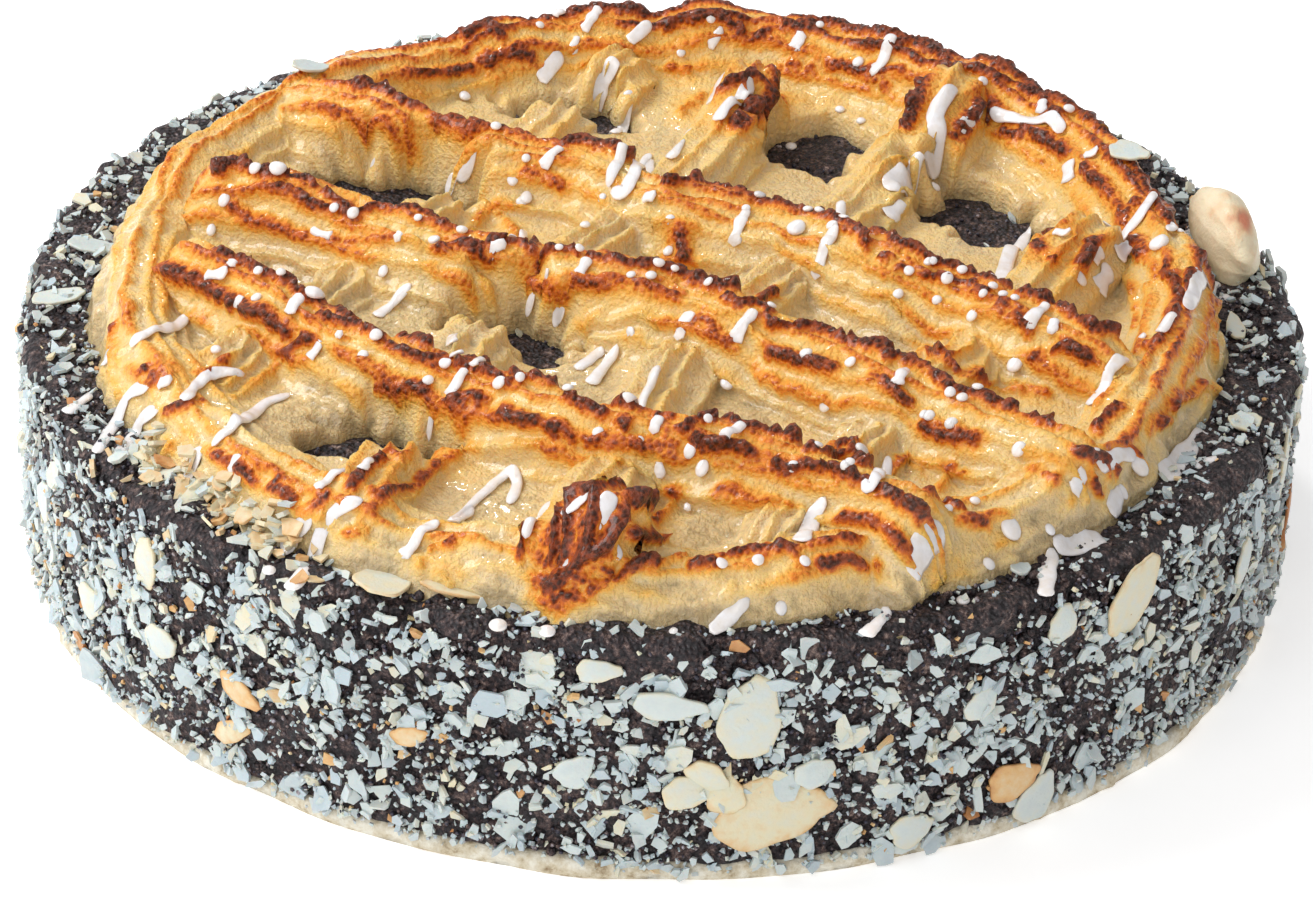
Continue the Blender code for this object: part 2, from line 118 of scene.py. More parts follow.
# %% Noise for arrays of points
def scrambled(place, seed):
    """A repeatable random number from 0 to 1 for each whole-numbered place: its three numbers are
    multiplied by large primes and added, and the sum's bits are shifted onto each other."""
    x, y, z = (place[..., k].astype(np.uint32) for k in range(3))
    h = x * np.uint32(374761393) + y * np.uint32(668265263) + z * np.uint32(2246822519)
    h = h + np.uint32((seed * 3266489917) % 4294967296)
    h = (h ^ (h >> np.uint32(15))) * np.uint32(2246822519)
    h = (h ^ (h >> np.uint32(13))) * np.uint32(3266489917)
    return (h ^ (h >> np.uint32(16))) / 4294967295.0


def soft_noise(points, size, seed=0):
    """Smooth noise from -1 to 1: random values at the corners of a grid of cells of the given size,
    blended inside each cell with the weight 3f^2 - 2f^3 along each axis."""
    cell = np.floor(points / size).astype(np.int64)
    part = points / size - cell
    part = part * part * (3.0 - 2.0 * part)
    total = 0.0
    for corner in itertools.product((0, 1), repeat=3):
        weight = np.prod(np.where(corner, part, 1.0 - part), axis=-1)
        total = total + weight * scrambled(cell + np.array(corner), seed)
    return 2.0 * total - 1.0


def rough_noise(points, size, seed=0, octaves=3):
    """Soft noise summed over sizes that halve each time, each half as strong as the one before."""
    layers = [0.5**k * soft_noise(points, size * 0.5**k, seed + 17 * k) for k in range(octaves)]
    return sum(layers) / (2.0 - 0.5 ** (octaves - 1))


def pebbles(points, size, seed=0):
    """Packed round grains: each grid cell has one random centre, and the value is a dome, the square
    root of 1 - d^2, over the distance d to the nearest centre, measured in cells."""
    cell = np.floor(points / size).astype(np.int64)
    part = points / size - cell
    nearest = np.full(points.shape[:-1], 9.0)
    for offset in itertools.product((-1, 0, 1), repeat=3):
        place = cell + np.array(offset)
        centre = np.stack([scrambled(place, seed + k) for k in range(3)], axis=-1) + np.array(offset)
        nearest = np.minimum(nearest, ((centre - part) ** 2).sum(axis=-1))
    return np.sqrt(np.clip(1.0 - nearest, 0.0, 1.0))


def smoothstep(low, high, value):
    """0 below low, 1 above high, and 3t^2 - 2t^3 between them."""
    t = np.clip((value - low) / (high - low), 0.0, 1.0)
    return t * t * (3.0 - 2.0 * t)


def ripple(angle, waves):
    """A sum of sines round the cake: each wave is (times round, height, shift in radians)."""
    return sum(height * np.sin(times * angle + shift) for times, height, shift in waves)


def near(angle, centre, reach):
    """A smooth hump, exp(-((angle - centre) / reach)^2), with all three in degrees."""
    return np.exp(-(((angle - centre + 180.0) % 360.0 - 180.0) / reach) ** 2)


sample = soft_noise(np.random.default_rng(0).uniform(-1, 1, (1000, 3)), 0.1)
print("soft noise runs from", round(sample.min(), 2), "to", round(sample.max(), 2))

# %% [markdown]
# ## Grids become meshes
# Each surface is worked out as a grid of points, with one number along and one across. Blender could
# build it face by face, but an array of corner numbers for all faces at once is shorter and far faster.


# %% From arrays to pieces
def ring_faces(rows, columns):
    """Corner numbers of the quads between neighbours in a grid that is stored row by row, where each row
    is a closed ring."""
    r, c = np.meshgrid(np.arange(rows - 1), np.arange(columns), indexing="ij")
    here, above, c2 = r * columns, (r + 1) * columns, (c + 1) % columns
    return np.stack([here + c, here + c2, above + c2, above + c], axis=-1).reshape(-1, 4)


def fan_faces(centre, ring):
    """Triangles from one centre point to each pair of neighbours on a closed ring of corner numbers."""
    ring = np.asarray(ring)
    return np.stack([np.full(ring.size, centre), ring, np.roll(ring, -1)], axis=1)


def surface_normals(grid):
    """Unit normals of a grid of points: the cross product of the steps along and across."""
    normal = np.cross(np.gradient(grid, axis=0), np.gradient(grid, axis=1))
    return normal / np.maximum(np.linalg.norm(normal, axis=-1, keepdims=True), 1e-12)


def signed_volume(points, face_sets):
    """Sum over all faces of the volume that each makes with the origin; positive if they face outwards."""
    total = 0.0
    for faces in face_sets:
        first = points[faces[:, 0]]
        for k in range(1, faces.shape[1] - 1):
            total += np.einsum("ij,ij->", first, np.cross(points[faces[:, k]], points[faces[:, k + 1]])) / 6.0
    return total


def new_piece(name, points, face_sets, material, node, slot, smooth=True, **values):
    """Makes the mesh object, turned right side out, that rides on the cake, and hides the solid that it fills.
    """
    points = np.asarray(points, float).reshape(-1, 3)
    if signed_volume(points, face_sets) < 0:
        face_sets = [faces[:, ::-1] for faces in face_sets]
    mesh = bpy.data.meshes.new(name)
    mesh.vertices.add(len(points))
    mesh.vertices.foreach_set("co", points.astype(np.float32).ravel())
    corners = np.concatenate([faces.ravel() for faces in face_sets])
    sizes = np.concatenate([np.full(len(faces), faces.shape[1]) for faces in face_sets])
    mesh.loops.add(len(corners))
    mesh.loops.foreach_set("vertex_index", corners.astype(np.int32))
    mesh.polygons.add(len(sizes))
    mesh.polygons.foreach_set("loop_start", (np.cumsum(sizes) - sizes).astype(np.int32))
    mesh.polygons.foreach_set("use_smooth", np.full(len(sizes), smooth))
    mesh.update(calc_edges=True)
    for key, value in values.items():
        layer = mesh.attributes.new(key, "FLOAT", "POINT")
        layer.data.foreach_set("value", np.asarray(value, np.float32).ravel())
    mesh.materials.append(material)
    piece = bpy.data.objects.new(name, mesh)
    bpy.context.scene.collection.objects.link(piece)
    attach(piece, "root")
    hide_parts(node)
    print(f"{name}: {len(points):,} points, {int((sizes - 2).sum()):,} triangles")
    return piece


# %% [markdown]
# ## Helpers for materials
# A finish is a small network of nodes. These helpers add a node and join it in one line, so that each
# material below reads like a recipe.


# %% Node helpers
class Network:
    """Short ways to add nodes to a tree."""

    def __init__(self, tree):
        self.tree = tree

    def node(self, kind, sockets=None, **settings):
        """Adds a node; sockets gives each input a value or another node's output."""
        made = self.tree.nodes.new(kind)
        for key, value in settings.items():
            setattr(made, key, value)
        for key, value in (sockets or {}).items():
            if isinstance(value, bpy.types.NodeSocket):
                self.tree.links.new(value, made.inputs[key])
            else:
                made.inputs[key].default_value = value
        return made

    def places(self):
        """The piece's own coordinates, in metres."""
        return self.node("ShaderNodeTexCoord").outputs["Object"]

    def value_of(self, name):
        """A number that the mesh holds for each point."""
        return self.node("ShaderNodeAttribute", attribute_name=name).outputs["Fac"]

    def noise(self, scale, detail=3.0, roughness=0.55):
        """Noise with this many cells to the metre."""
        sockets = {"Vector": self.places(), "Scale": scale, "Detail": detail, "Roughness": roughness}
        return self.node("ShaderNodeTexNoise", sockets).outputs["Fac"]

    def grains(self, scale):
        """Distance to the nearest of many random centres, this many to the metre."""
        sockets = {"Vector": self.places(), "Scale": scale}
        return self.node("ShaderNodeTexVoronoi", sockets).outputs["Distance"]

    def sum(self, a, b, operation="ADD"):
        """Two numbers put together by a Math node."""
        return self.node("ShaderNodeMath", {0: a, 1: b}, operation=operation).outputs[0]

    def stretch(self, value, low, high, to_low=0.0, to_high=1.0):
        """Maps the range low..high onto another range, and holds it there."""
        sockets = {"Value": value, "From Min": low, "From Max": high, "To Min": to_low, "To Max": to_high}
        return self.node("ShaderNodeMapRange", sockets).outputs["Result"]

    def ramp(self, value, stops):
        """Colours along a ramp: each stop is (position, (red, green, blue))."""
        made = self.node("ShaderNodeValToRGB", {"Fac": value})
        band = made.color_ramp
        while len(band.elements) < len(stops):
            band.elements.new(0.5)
        for element, (position, colour) in zip(band.elements, stops):
            element.position = position
            element.color = (*colour, 1.0)
        return made.outputs["Color"]

    def bump(self, height, distance, strength=1.0):
        """Relief that is too fine for the mesh."""
        sockets = {"Height": height, "Distance": distance, "Strength": strength}
        return self.node("ShaderNodeBump", sockets).outputs["Normal"]

    def shared(self, effect, **sockets):
        """Places a node group with its own values."""
        return self.node("ShaderNodeGroup", sockets, node_tree=effect).outputs[0]


class Recipe(Network):
    """A material; plain values for its shader are given by name."""

    def __init__(self, name, **plain):
        self.material = bpy.data.materials.new(name)
        self.material.use_nodes = True
        super().__init__(self.material.node_tree)
        self.shader = self.tree.nodes["Principled BSDF"]
        for socket, value in plain.items():
            self.shader.inputs[socket.replace("_", " ")].default_value = value

    def into(self, **links):
        """Joins outputs to the shader's sockets and hands the material over."""
        for socket, output in links.items():
            self.tree.links.new(output, self.shader.inputs[socket.replace("_", " ")])
        return self.material


def srgb(red, green, blue):
    """A colour as seen on the screen, 0 to 255, turned into the light values that Blender mixes."""
    c = np.array((red, green, blue)) / 255.0
    return tuple(np.where(c <= 0.04045, c / 12.92, ((c + 0.055) / 1.055) ** 2.4))


print("cream paste in light values:", np.round(srgb(228, 199, 144), 3))

# %% [markdown]
# ## Two effects that several finishes share
# Crust, paste, dough, almond and icing all have a fine grain in their skin, and the tone of paste, dough and
# almond clouds over in soft patches. Both could be built again in each material. As node groups they are
# built once, and each material places them with its own values.


# %% Shared node groups
class Effect(Network):
    """A node group: its inputs are numbers with names, and it gives one output."""

    def __init__(self, name, output, kind, **inputs):
        super().__init__(bpy.data.node_groups.new(name, "ShaderNodeTree"))
        for key, value in inputs.items():
            socket = self.tree.interface.new_socket(key, in_out="INPUT", socket_type="NodeSocketFloat")
            socket.default_value = value
        self.tree.interface.new_socket(output, in_out="OUTPUT", socket_type=kind)
        self.given = self.tree.nodes.new("NodeGroupInput").outputs

    def gives(self, result):
        """Joins the result to the group's output and hands the group over."""
        self.tree.links.new(result, self.tree.nodes.new("NodeGroupOutput").inputs[0])
        return self.tree


grain = Effect(
    "fine_grain", "Normal", "NodeSocketVector", Scale=1000.0, Detail=3.0, Distance=0.0005, Strength=0.5
)
grain_height = grain.noise(grain.given["Scale"], grain.given["Detail"])
fine_grain = grain.gives(grain.bump(grain_height, grain.given["Distance"], grain.given["Strength"]))

cloud = Effect(
    "clouded_tone", "Tone", "NodeSocketFloat", Tone=0.0, Scale=400.0, Detail=4.0, Roughness=0.55, Spread=0.08
)
cloud_noise = cloud.noise(cloud.given["Scale"], cloud.given["Detail"], cloud.given["Roughness"])
darker = cloud.sum(cloud.given["Spread"], -1.0, "MULTIPLY")
cloud_shift = cloud.stretch(cloud_noise, 0.3, 0.7, darker, cloud.given["Spread"])
clouded_tone = cloud.gives(cloud.sum(cloud.given["Tone"], cloud_shift))
print("shared effects:", fine_grain.name, "and", clouded_tone.name)

# %% [markdown]
# ## Shortcrust
# The crust is a thin disc of dry, sandy dough that shows only as a pale, crumbly line round the foot. Its
# edge could be a plain cylinder with a bump, but crumbs break its outline, so the edge itself is roughened.

# %% Shortcrust finish
crust = Recipe("shortcrust_baked", Roughness=0.85)
crust_colour = crust.ramp(
    crust.noise(260.0, 4.0, 0.7),
    ((0.3, srgb(140, 118, 88)), (0.42, srgb(196, 184, 158)), (0.62, srgb(224, 220, 206))),
)
crust_skin = crust.shared(fine_grain, Scale=900.0, Detail=4.0, Distance=0.0006, Strength=0.8)
shortcrust_baked = crust.into(Base_Color=crust_colour, Normal=crust_skin)
print("finish", shortcrust_baked.name)

# %% The crust disc
CRUST_STEPS = 1000
CRUST_CRUMB = 1.1 * MM


def turned_grid(angle, radius, height):
    """Points of a turned surface: rows go up, columns go round at radius (cos, sin)."""
    radius, height = np.broadcast_arrays(radius, height)
    return np.stack([radius * np.cos(angle), radius * np.sin(angle), height], axis=-1)


round_angle = np.linspace(0.0, 2.0 * np.pi, CRUST_STEPS, endpoint=False)[None, :]
edge = CRUST_RADIUS + ripple(round_angle, CRUST_WAVES)
levels = np.array([0.0, 0.0, 0.12, 0.35, 0.6, 0.85, 1.0, 1.0])[:, None]
draw_in = np.array([40.0, 1.0, 0.3, 0.0, 0.0, 0.4, 1.2, 6.0])[:, None] * MM
crust_points = turned_grid(round_angle, edge - draw_in, levels * CRUST_HEIGHT)
crumb = rough_noise(crust_points, 3.0 * MM, 3) - 0.6 * pebbles(crust_points, 2.2 * MM, 9)
at_edge = ((levels > 0.0) & (draw_in < 2.0 * MM))[..., None]
outward = turned_grid(round_angle, np.ones((1, CRUST_STEPS)), 0.0)
crust_points = crust_points + at_edge * outward * (CRUST_CRUMB * crumb)[..., None]
crust_points = np.vstack([crust_points.reshape(-1, 3), [[0, 0, 0], [0, 0, CRUST_HEIGHT]]])
last_ring = (len(levels) - 1) * CRUST_STEPS + np.arange(CRUST_STEPS)
crust_faces = [
    ring_faces(len(levels), CRUST_STEPS),
    np.vstack([
        fan_faces(len(crust_points) - 2, np.arange(CRUST_STEPS)[::-1]),
        fan_faces(len(crust_points) - 1, last_ring),
    ]),
]
new_piece("crust_disc", crust_points, crust_faces, shortcrust_baked, "base_crust", "shortcrust")

# %% [markdown]
# ## Poppy seed cake
# The cake is a moist, dark mass of ground poppy seed. Most of its side hides behind almonds, but its upper
# edge and the holes of the lattice show it bare. Its body gets rough relief, and the seeds themselves are
# scattered over it as small grains, because their glints make it read as poppy seed and not as soil.

# %% Poppy crumb finish
poppy = Recipe("poppy_crumb_moist")
poppy_grains = poppy.grains(950.0)
poppy_colour = poppy.ramp(
    poppy.noise(480.0, 5.0, 0.8),
    (
        (0.34, srgb(10, 8, 11)),
        (0.48, srgb(32, 25, 30)),
        (0.58, srgb(80, 62, 60)),
        (0.68, srgb(156, 134, 124)),
    ),
)
poppy_crumb_moist = poppy.into(
    Base_Color=poppy_colour,
    Roughness=poppy.stretch(poppy_grains, 0.1, 0.7, 0.35, 0.75),
    Normal=poppy.bump(poppy_grains, 0.0012, 1.0),
)
print("finish", poppy_crumb_moist.name)

# %% The cake body
CAKE_STEPS = 840
CRUMB_HEIGHT = 1.4 * MM
cake_angle = np.linspace(0.0, 2.0 * np.pi, CAKE_STEPS, endpoint=False)


def side_radius(angle):
    """Radius of the cake's side: the mean radius plus its waves."""
    return CAKE_RADIUS + ripple(angle, SIDE_WAVES)


# The profile from the foot up the side and over the top: how far in from the side, and the height.
SIDE_ROWS, TURN_ROWS = 46, 6
RIM_REACH = 9.0 * MM
side_heights = np.linspace(CAKE_BOTTOM, CAKE_TOP - RIM_ROUNDING, SIDE_ROWS)
turn = np.linspace(0.0, 0.5 * np.pi, TURN_ROWS)[1:]
turn_heights = CAKE_TOP - RIM_ROUNDING * (1.0 - np.sin(turn))
top_reach = np.concatenate([np.arange(4.0, 36.0, 1.0), np.arange(36.0, 124.0, 3.0)]) * MM
profile_in = np.concatenate([np.zeros(SIDE_ROWS), RIM_ROUNDING * (1.0 - np.cos(turn)), top_reach])
profile_up = np.concatenate([side_heights, turn_heights, np.full(top_reach.size, CAKE_TOP)])
rim_share = np.exp(-(((profile_up - CAKE_TOP) / RIM_REACH) ** 2) - (profile_in / RIM_REACH) ** 2)[:, None]
cake_reach = side_radius(cake_angle)[None, :] - profile_in[:, None]
cake_reach = cake_reach + rim_share * ripple(cake_angle, CRUMBLE_WAVES)[None, :]
cake_grid = turned_grid(cake_angle[None, :], cake_reach, profile_up[:, None])
cake_normals = -surface_normals(cake_grid)
cake_relief = (
    1.1 * rough_noise(cake_grid, 7.0 * MM, 21)
    + 0.7 * (pebbles(cake_grid, 2.6 * MM, 22) - 0.6)
    + rim_share * 1.3 * rough_noise(cake_grid, 11.0 * MM, 23)
)
cake_grid = cake_grid + cake_normals * (CRUMB_HEIGHT * cake_relief)[..., None]
cake_grid[0, :, 2] = CAKE_BOTTOM
cake_points = np.vstack([cake_grid.reshape(-1, 3), [[0, 0, CAKE_BOTTOM], [0, 0, CAKE_TOP]]])
cake_rows = cake_grid.shape[0]
cake_faces = [
    ring_faces(cake_rows, CAKE_STEPS),
    np.vstack([
        fan_faces(len(cake_points) - 2, np.arange(CAKE_STEPS)[::-1]),
        fan_faces(len(cake_points) - 1, (cake_rows - 1) * CAKE_STEPS + np.arange(CAKE_STEPS)),
    ]),
]
new_piece("cake_body", cake_points, cake_faces, poppy_crumb_moist, "poppy_cake", "poppy_crumb")

# %% [markdown]
# ## Piped almond paste
# The paste was piped with a star nozzle: a ring, four strips under and three strips over. In the oven it
# sank and ran together, so strips no longer have edges of their own. Separate swept strands would meet in
# hard lines. So the paste is one sheet here: a height for each place of a grid seen from above, to which
# each strand adds its swell, and neighbours are blended where they meet.

# %% The grid seen from above
CELL = 0.4 * MM
BLOCK = 5
PLAN_HALF = 126.0 * MM
PLAN_STEPS = round(2 * PLAN_HALF / CELL) + 1
across_plan = np.linspace(-PLAN_HALF, PLAN_HALF, PLAN_STEPS)
plan_x, plan_y = np.meshgrid(across_plan, across_plan, indexing="ij")
print("grid of", PLAN_STEPS, "by", PLAN_STEPS, "places")


def blend_weights(places, size):
    """For each place on a line, the weights of the corners of cells of the given size: the two nearest
    corners share it by 3f^2 - 2f^3."""
    cell = np.floor((places - places.min()) / size).astype(int)
    part = (places - places.min()) / size - cell
    part = part * part * (3.0 - 2.0 * part)
    weights = np.zeros((len(places), cell.max() + 2))
    rows = np.arange(len(places))
    weights[rows, cell], weights[rows, cell + 1] = 1.0 - part, part
    return weights


def plan_noise(size, seed, octaves=1):
    """Smooth noise from -1 to 1 over the whole grid: random values at the corners of square cells are
    blended along one side and then along the other, which is two products of matrices."""
    total, strength = 0.0, 0.0
    for k in range(octaves):
        weights = blend_weights(across_plan, size * 0.5**k)
        corners = np.random.default_rng(1000 * seed + k).uniform(-1.0, 1.0, (weights.shape[1],) * 2)
        total = total + 0.5**k * (weights @ corners @ weights.T)
        strength += 0.5**k
    return total / strength


LINE_VALUES = 4096


def line_noise(along, size, seed, octaves=1):
    """Smooth noise from -1 to 1 along a line: random values at even places, blended by 3f^2 - 2f^3. The
    line starts at a quarter of the values, so that a place before its start has a value too."""
    total, strength = 0.0, 0.0
    for k in range(octaves):
        corners = np.random.default_rng(1000 * seed + k).uniform(-1.0, 1.0, LINE_VALUES)
        way = along / (size * 0.5**k) + LINE_VALUES / 4
        cell = np.floor(way).astype(int)
        part = way - cell
        part = part * part * (3.0 - 2.0 * part)
        this, following = corners[cell % LINE_VALUES], corners[(cell + 1) % LINE_VALUES]
        total = total + 0.5**k * (this * (1.0 - part) + following * part)
        strength += 0.5**k
    return total / strength


# %% Routes and places beside them
SPAN_POINTS = 24
COARSE_STEP = 8


def smooth_route(corners, step):
    """Even steps along a Catmull-Rom curve through the corners."""
    knots = np.array(corners, float)
    ends = np.vstack([2 * knots[0] - knots[1], knots, 2 * knots[-1] - knots[-2]])
    t = np.linspace(0.0, 1.0, SPAN_POINTS, endpoint=False)[:, None]
    spans = []
    for a, b, c, d in zip(ends, ends[1:], ends[2:], ends[3:]):
        cubic = 2 * b + (c - a) * t + (2 * a - 5 * b + 4 * c - d) * t**2 + (3 * b - a - 3 * c + d) * t**3
        spans.append(0.5 * cubic)
    dense = np.vstack([*spans, knots[-1:]])
    length = np.concatenate([[0.0], np.cumsum(np.linalg.norm(np.diff(dense[:, :2], axis=0), axis=1))])
    even = np.linspace(0.0, length[-1], max(3, round(length[-1] / step) + 1))
    return np.stack([np.interp(even, length, dense[:, k]) for k in range(knots.shape[1])], axis=1)


def along_and_beside(x, y, route):
    """For each place: how far along the route its nearest station is, how far it lies to the left, and
    how far away it is. Every eighth station is tried first, then the neighbours of the nearest."""
    step = np.linalg.norm(route[1] - route[0])
    best, station = np.full(x.shape, np.inf), np.zeros(x.shape, int)
    for k in range(0, len(route), COARSE_STEP):
        away = (x - route[k, 0]) ** 2 + (y - route[k, 1]) ** 2
        station = np.where(away < best, k, station)
        best = np.minimum(best, away)
    middle = station
    for shift in range(1 - COARSE_STEP, COARSE_STEP):
        k = np.clip(middle + shift, 0, len(route) - 1)
        away = (x - route[k, 0]) ** 2 + (y - route[k, 1]) ** 2
        station = np.where(away < best, k, station)
        best = np.minimum(best, away)
    heading = np.gradient(route, axis=0)
    heading /= np.linalg.norm(heading, axis=1)[:, None]
    dx, dy = x - route[station, 0], y - route[station, 1]
    tx, ty = heading[station, 0], heading[station, 1]
    return station * step + dx * tx + dy * ty, dy * tx - dx * ty, np.sqrt(best)


def merged(a, b, blend):
    """The higher of two heights, with a smooth fillet: where they differ by less than the blend, a share
    (1 - difference / blend)^2 of a quarter of the blend is added."""
    share = np.clip(1.0 - np.abs(a - b) / blend, 0.0, 1.0)
    return np.maximum(a, b) + 0.25 * blend * share**2


# %% The swell of every strand
# Each strip: its route in millimetres, spread to its left and right, and height at start, middle and end.
STRIPS = {
    "under_1": (((-8, 94), (-28, 56), (-60, -6), (-88, -55)), 8.5, 8.5, (11.5, 9.0, 9.0)),
    "under_2": (((19, 76), (6, 40), (-34, -30), (-49, -80), (-58, -104)), 9.5, 9.5, (18.0, 9.5, 9.0)),
    "under_3": (((64, 76), (43, 31), (6, -36), (-4, -70), (-15, -117)), 10.0, 10.0, (18.5, 9.5, 13.5)),
    "under_4": (((90, 14), (68, -22), (42, -66), (20, -106)), 9.0, 9.0, (17.0, 9.5, 9.0)),
    "over_1": (
        ((-84, 62), (-57, 50), (-42, 39), (-16, 32), (0, 19), (24, 10), (48, -8), (72, -26), (94, -43)),
        7.2, 12.5, (13.0, 15.5, 12.5),
    ),
    "over_2": (
        ((-96, 19), (-74, 10), (-56, 0), (-36, -10), (-8, -18), (18, -34), (46, -54), (84, -80)),
        7.2, 13.0, (16.5, 16.0, 13.5),
    ),
    "over_3": (
        ((-97, -11), (-78, -29), (-60, -45), (-38, -60), (-18, -72), (8, -80), (34, -91), (54, -105)),
        7.4, 11.5, (15.5, 15.5, 15.5),
    ),
}
# How far from each end a strip has its middle height.
STRIP_END = {"under": 48.0 * MM, "over": 28.0 * MM}
TIP_LENGTH = 8.0 * MM
ROUTE_STEP = 0.5 * MM
# Powers of the bell across a strand: the higher, the flatter its top and the steeper its flanks.
RING_POWER, STRIP_POWER = 2.3, 3.0
# How far a bell dips below its foot, as a share of its height, and how steeply it falls further out.
BELL_EXTRA = 0.12
FALL = 0.8
FILLET = 3.0 * MM
BED_HEIGHT = 4.8 * MM
# Holes down to the cake: x, y, half length, half width in millimetres, and turn in degrees.
HOLES = (
    (-20, 73, 13, 8, -10), (31, 62, 12, 11, -50), (66, 33, 15, 11, -45),
    (-54, 33, 17, 9, -28), (-28, -25, 12, 8, -25), (-55, -69, 14, 8, -20),
)
HOLE_DEPTH = 3.0 * MM
SHEET_DIP = -2.3 * MM
# The thick end of the third under strip, in the same terms.
FRONT_MOUND = (-9.0, -108.0, 12.0, 8.5, 57.0)
FRONT_MOUND_HEIGHT = 18.5 * MM
EDGE_CUT = 1.5 * MM


def swell(beside, height, left, right, power, blunt=1.0):
    """Height of a strand beside its route: a bell exp(-(|beside| / spread)^power), stretched so that it
    dips below its foot further out, and from 1.5 times the spread on falling evenly."""
    spread = np.where(beside > 0, left, right)
    bell = blunt * np.exp(-((np.abs(beside) / spread) ** power))
    far_out = np.maximum(np.abs(beside) - 1.5 * spread, 0.0)
    return height * ((1.0 + BELL_EXTRA) * bell - BELL_EXTRA) - FALL * far_out


def ring_swell():
    """The ring of paste: its radius is the mean radius with an oval stretch, flatter at 120 degrees, and
    it is highest at 72 degrees."""
    angle = np.linspace(0.0, 2.0 * np.pi, 1400)
    degrees = np.degrees(angle)
    radius = RING_RADIUS - RING_STRETCH * np.cos(2.0 * angle) + ripple(angle, ((9, 0.7 * MM, 2.0),))
    radius -= 4.5 * MM * near(degrees, 120.0, 24.0)
    route = np.stack([radius * np.cos(angle), radius * np.sin(angle)], axis=1) + RING_CENTRE
    along, beside, _ = along_and_beside(plan_x, plan_y, route)
    here = np.arctan2(plan_y - RING_CENTRE[1], plan_x - RING_CENTRE[0])
    back = 0.5 + 0.5 * np.cos(here - np.radians(72.0))
    rise = RING_BACK_HEIGHT - RING_FRONT_HEIGHT
    height = RING_FRONT_HEIGHT + rise * back + ripple(here, RING_CREST_WAVES)
    height = (height - 1.2 * MM) * (1.0 + 0.12 * plan_noise(16.0 * MM, 31))
    outer = (RING_OUTER - 1.8 * MM * near(np.degrees(here), 13.0, 9.2)) / 1.5
    outer = outer * (1.0 + 0.16 * plan_noise(9.0 * MM, 32) + 0.10 * plan_noise(4.0 * MM, 33))
    inner = (RING_INNER + 6.0 * MM * near(np.degrees(here), 42.0, 23.0)) / 2.2
    return along, beside, swell(beside, height, inner, outer, RING_POWER)


def strip_swell(number, corners, left, right, heights, end):
    """A strip: its height changes over the given length at each end, and its tips are blunt: over the
    last 8 mm it is multiplied by the square root of 1 - (1 - share of the way to the tip)^2.6."""
    route = smooth_route(np.array(corners) * MM, ROUTE_STEP)
    along, beside, _ = along_and_beside(plan_x, plan_y, route)
    length = (len(route) - 1) * ROUTE_STEP
    stops = (0.0, end, length - end, length)
    height = np.interp(along, stops, np.array([heights[0], heights[1], heights[1], heights[2]]) * MM)
    height = height * (1.0 + 0.10 * plan_noise(15.0 * MM, 50 + number))
    to_tip = np.clip(np.minimum(along, length - along) / TIP_LENGTH, 0.0, 1.0)
    blunt = np.sqrt(np.clip(1.0 - (1.0 - to_tip) ** 2.6, 0.0, 1.0))
    wobble = 1.0 + 0.14 * plan_noise(13.0 * MM, 60 + number)
    past_tip = np.maximum(np.maximum(-along, along - length), 0.0)
    own_body = swell(beside, height, left * MM * wobble, right * MM * wobble, STRIP_POWER, blunt)
    return along, beside, own_body - FALL * past_tip


strands = {"ring": ring_swell()}
for number, (name, (corners, left, right, heights)) in enumerate(STRIPS.items()):
    strands[name] = strip_swell(number, corners, left, right, heights, STRIP_END[name.split("_")[0]])
print({name: f"{1000 * own_body.max():.1f} mm high" for name, (_, _, own_body) in strands.items()})

# %% One bed for all
# The bed is paste that ran between the strips; the holes were left by the piping.
inside_ring = smoothstep(-2.0 * MM, 8.0 * MM, strands["ring"][1])
bed = BED_HEIGHT * (1.0 + 0.22 * plan_noise(17.0 * MM, 41, 3)) * (1.15 * inside_ring - 0.15)
bed = bed - FALL * np.maximum(-strands["ring"][1] - 2.0 * MM, 0.0)
body = bed
for name in ("under_1", "under_2", "under_3", "under_4", "ring", "over_1", "over_2", "over_3"):
    body = merged(body, strands[name][2], FILLET)


def oval_reach(x, y, half_long, half_wide, turned):
    """Distance from a place, 1 on an oval round it with these half axes (mm) and turn (degrees)."""
    c, s = np.cos(np.radians(turned)), np.sin(np.radians(turned))
    dx, dy = plan_x - x * MM, plan_y - y * MM
    return np.hypot((c * dx + s * dy) / (half_long * MM), (c * dy - s * dx) / (half_wide * MM))


mound_height = FRONT_MOUND_HEIGHT * (1.0 + 0.15 * plan_noise(7.0 * MM, 46))
mound = mound_height * np.exp(-(oval_reach(*FRONT_MOUND) ** 3))
body = merged(body, mound - 1.0 * MM, FILLET)
open_hole = np.zeros_like(body)
for hole in HOLES:
    reach = oval_reach(*hole)
    reach = reach + 0.34 * plan_noise(8.0 * MM, 42) + 0.20 * plan_noise(3.5 * MM, 43)
    open_hole = np.maximum(open_hole, 1.0 - smoothstep(0.72, 1.3, reach))
body = body * (1.0 - open_hole) - HOLE_DEPTH * open_hole
lumpy = 0.8 * plan_noise(10.0 * MM, 44, 2) + 0.7 * plan_noise(4.5 * MM, 45, 3)
body = body + MM * lumpy * smoothstep(0.0, 3.0 * MM, body)
# The foot of the paste is cut back, so that it meets the cake steeply: height - cut * exp(-height / cut).
body = body - EDGE_CUT * np.exp(-np.clip(body, -EDGE_CUT, None) / EDGE_CUT)
body = np.maximum(body, SHEET_DIP)
print("paste covers", round(float((body > 0).mean() * (2 * PLAN_HALF * 1000) ** 2)), "square millimetres")

# %% [markdown]
# ## What a pixel of the photo shows
# Some ridges, strokes of icing and flakes are known by where the photo shows them. The ray from the camera
# through that pixel is followed down until it meets the paste. The same map later tells the icing and the
# flakes how high the top is.


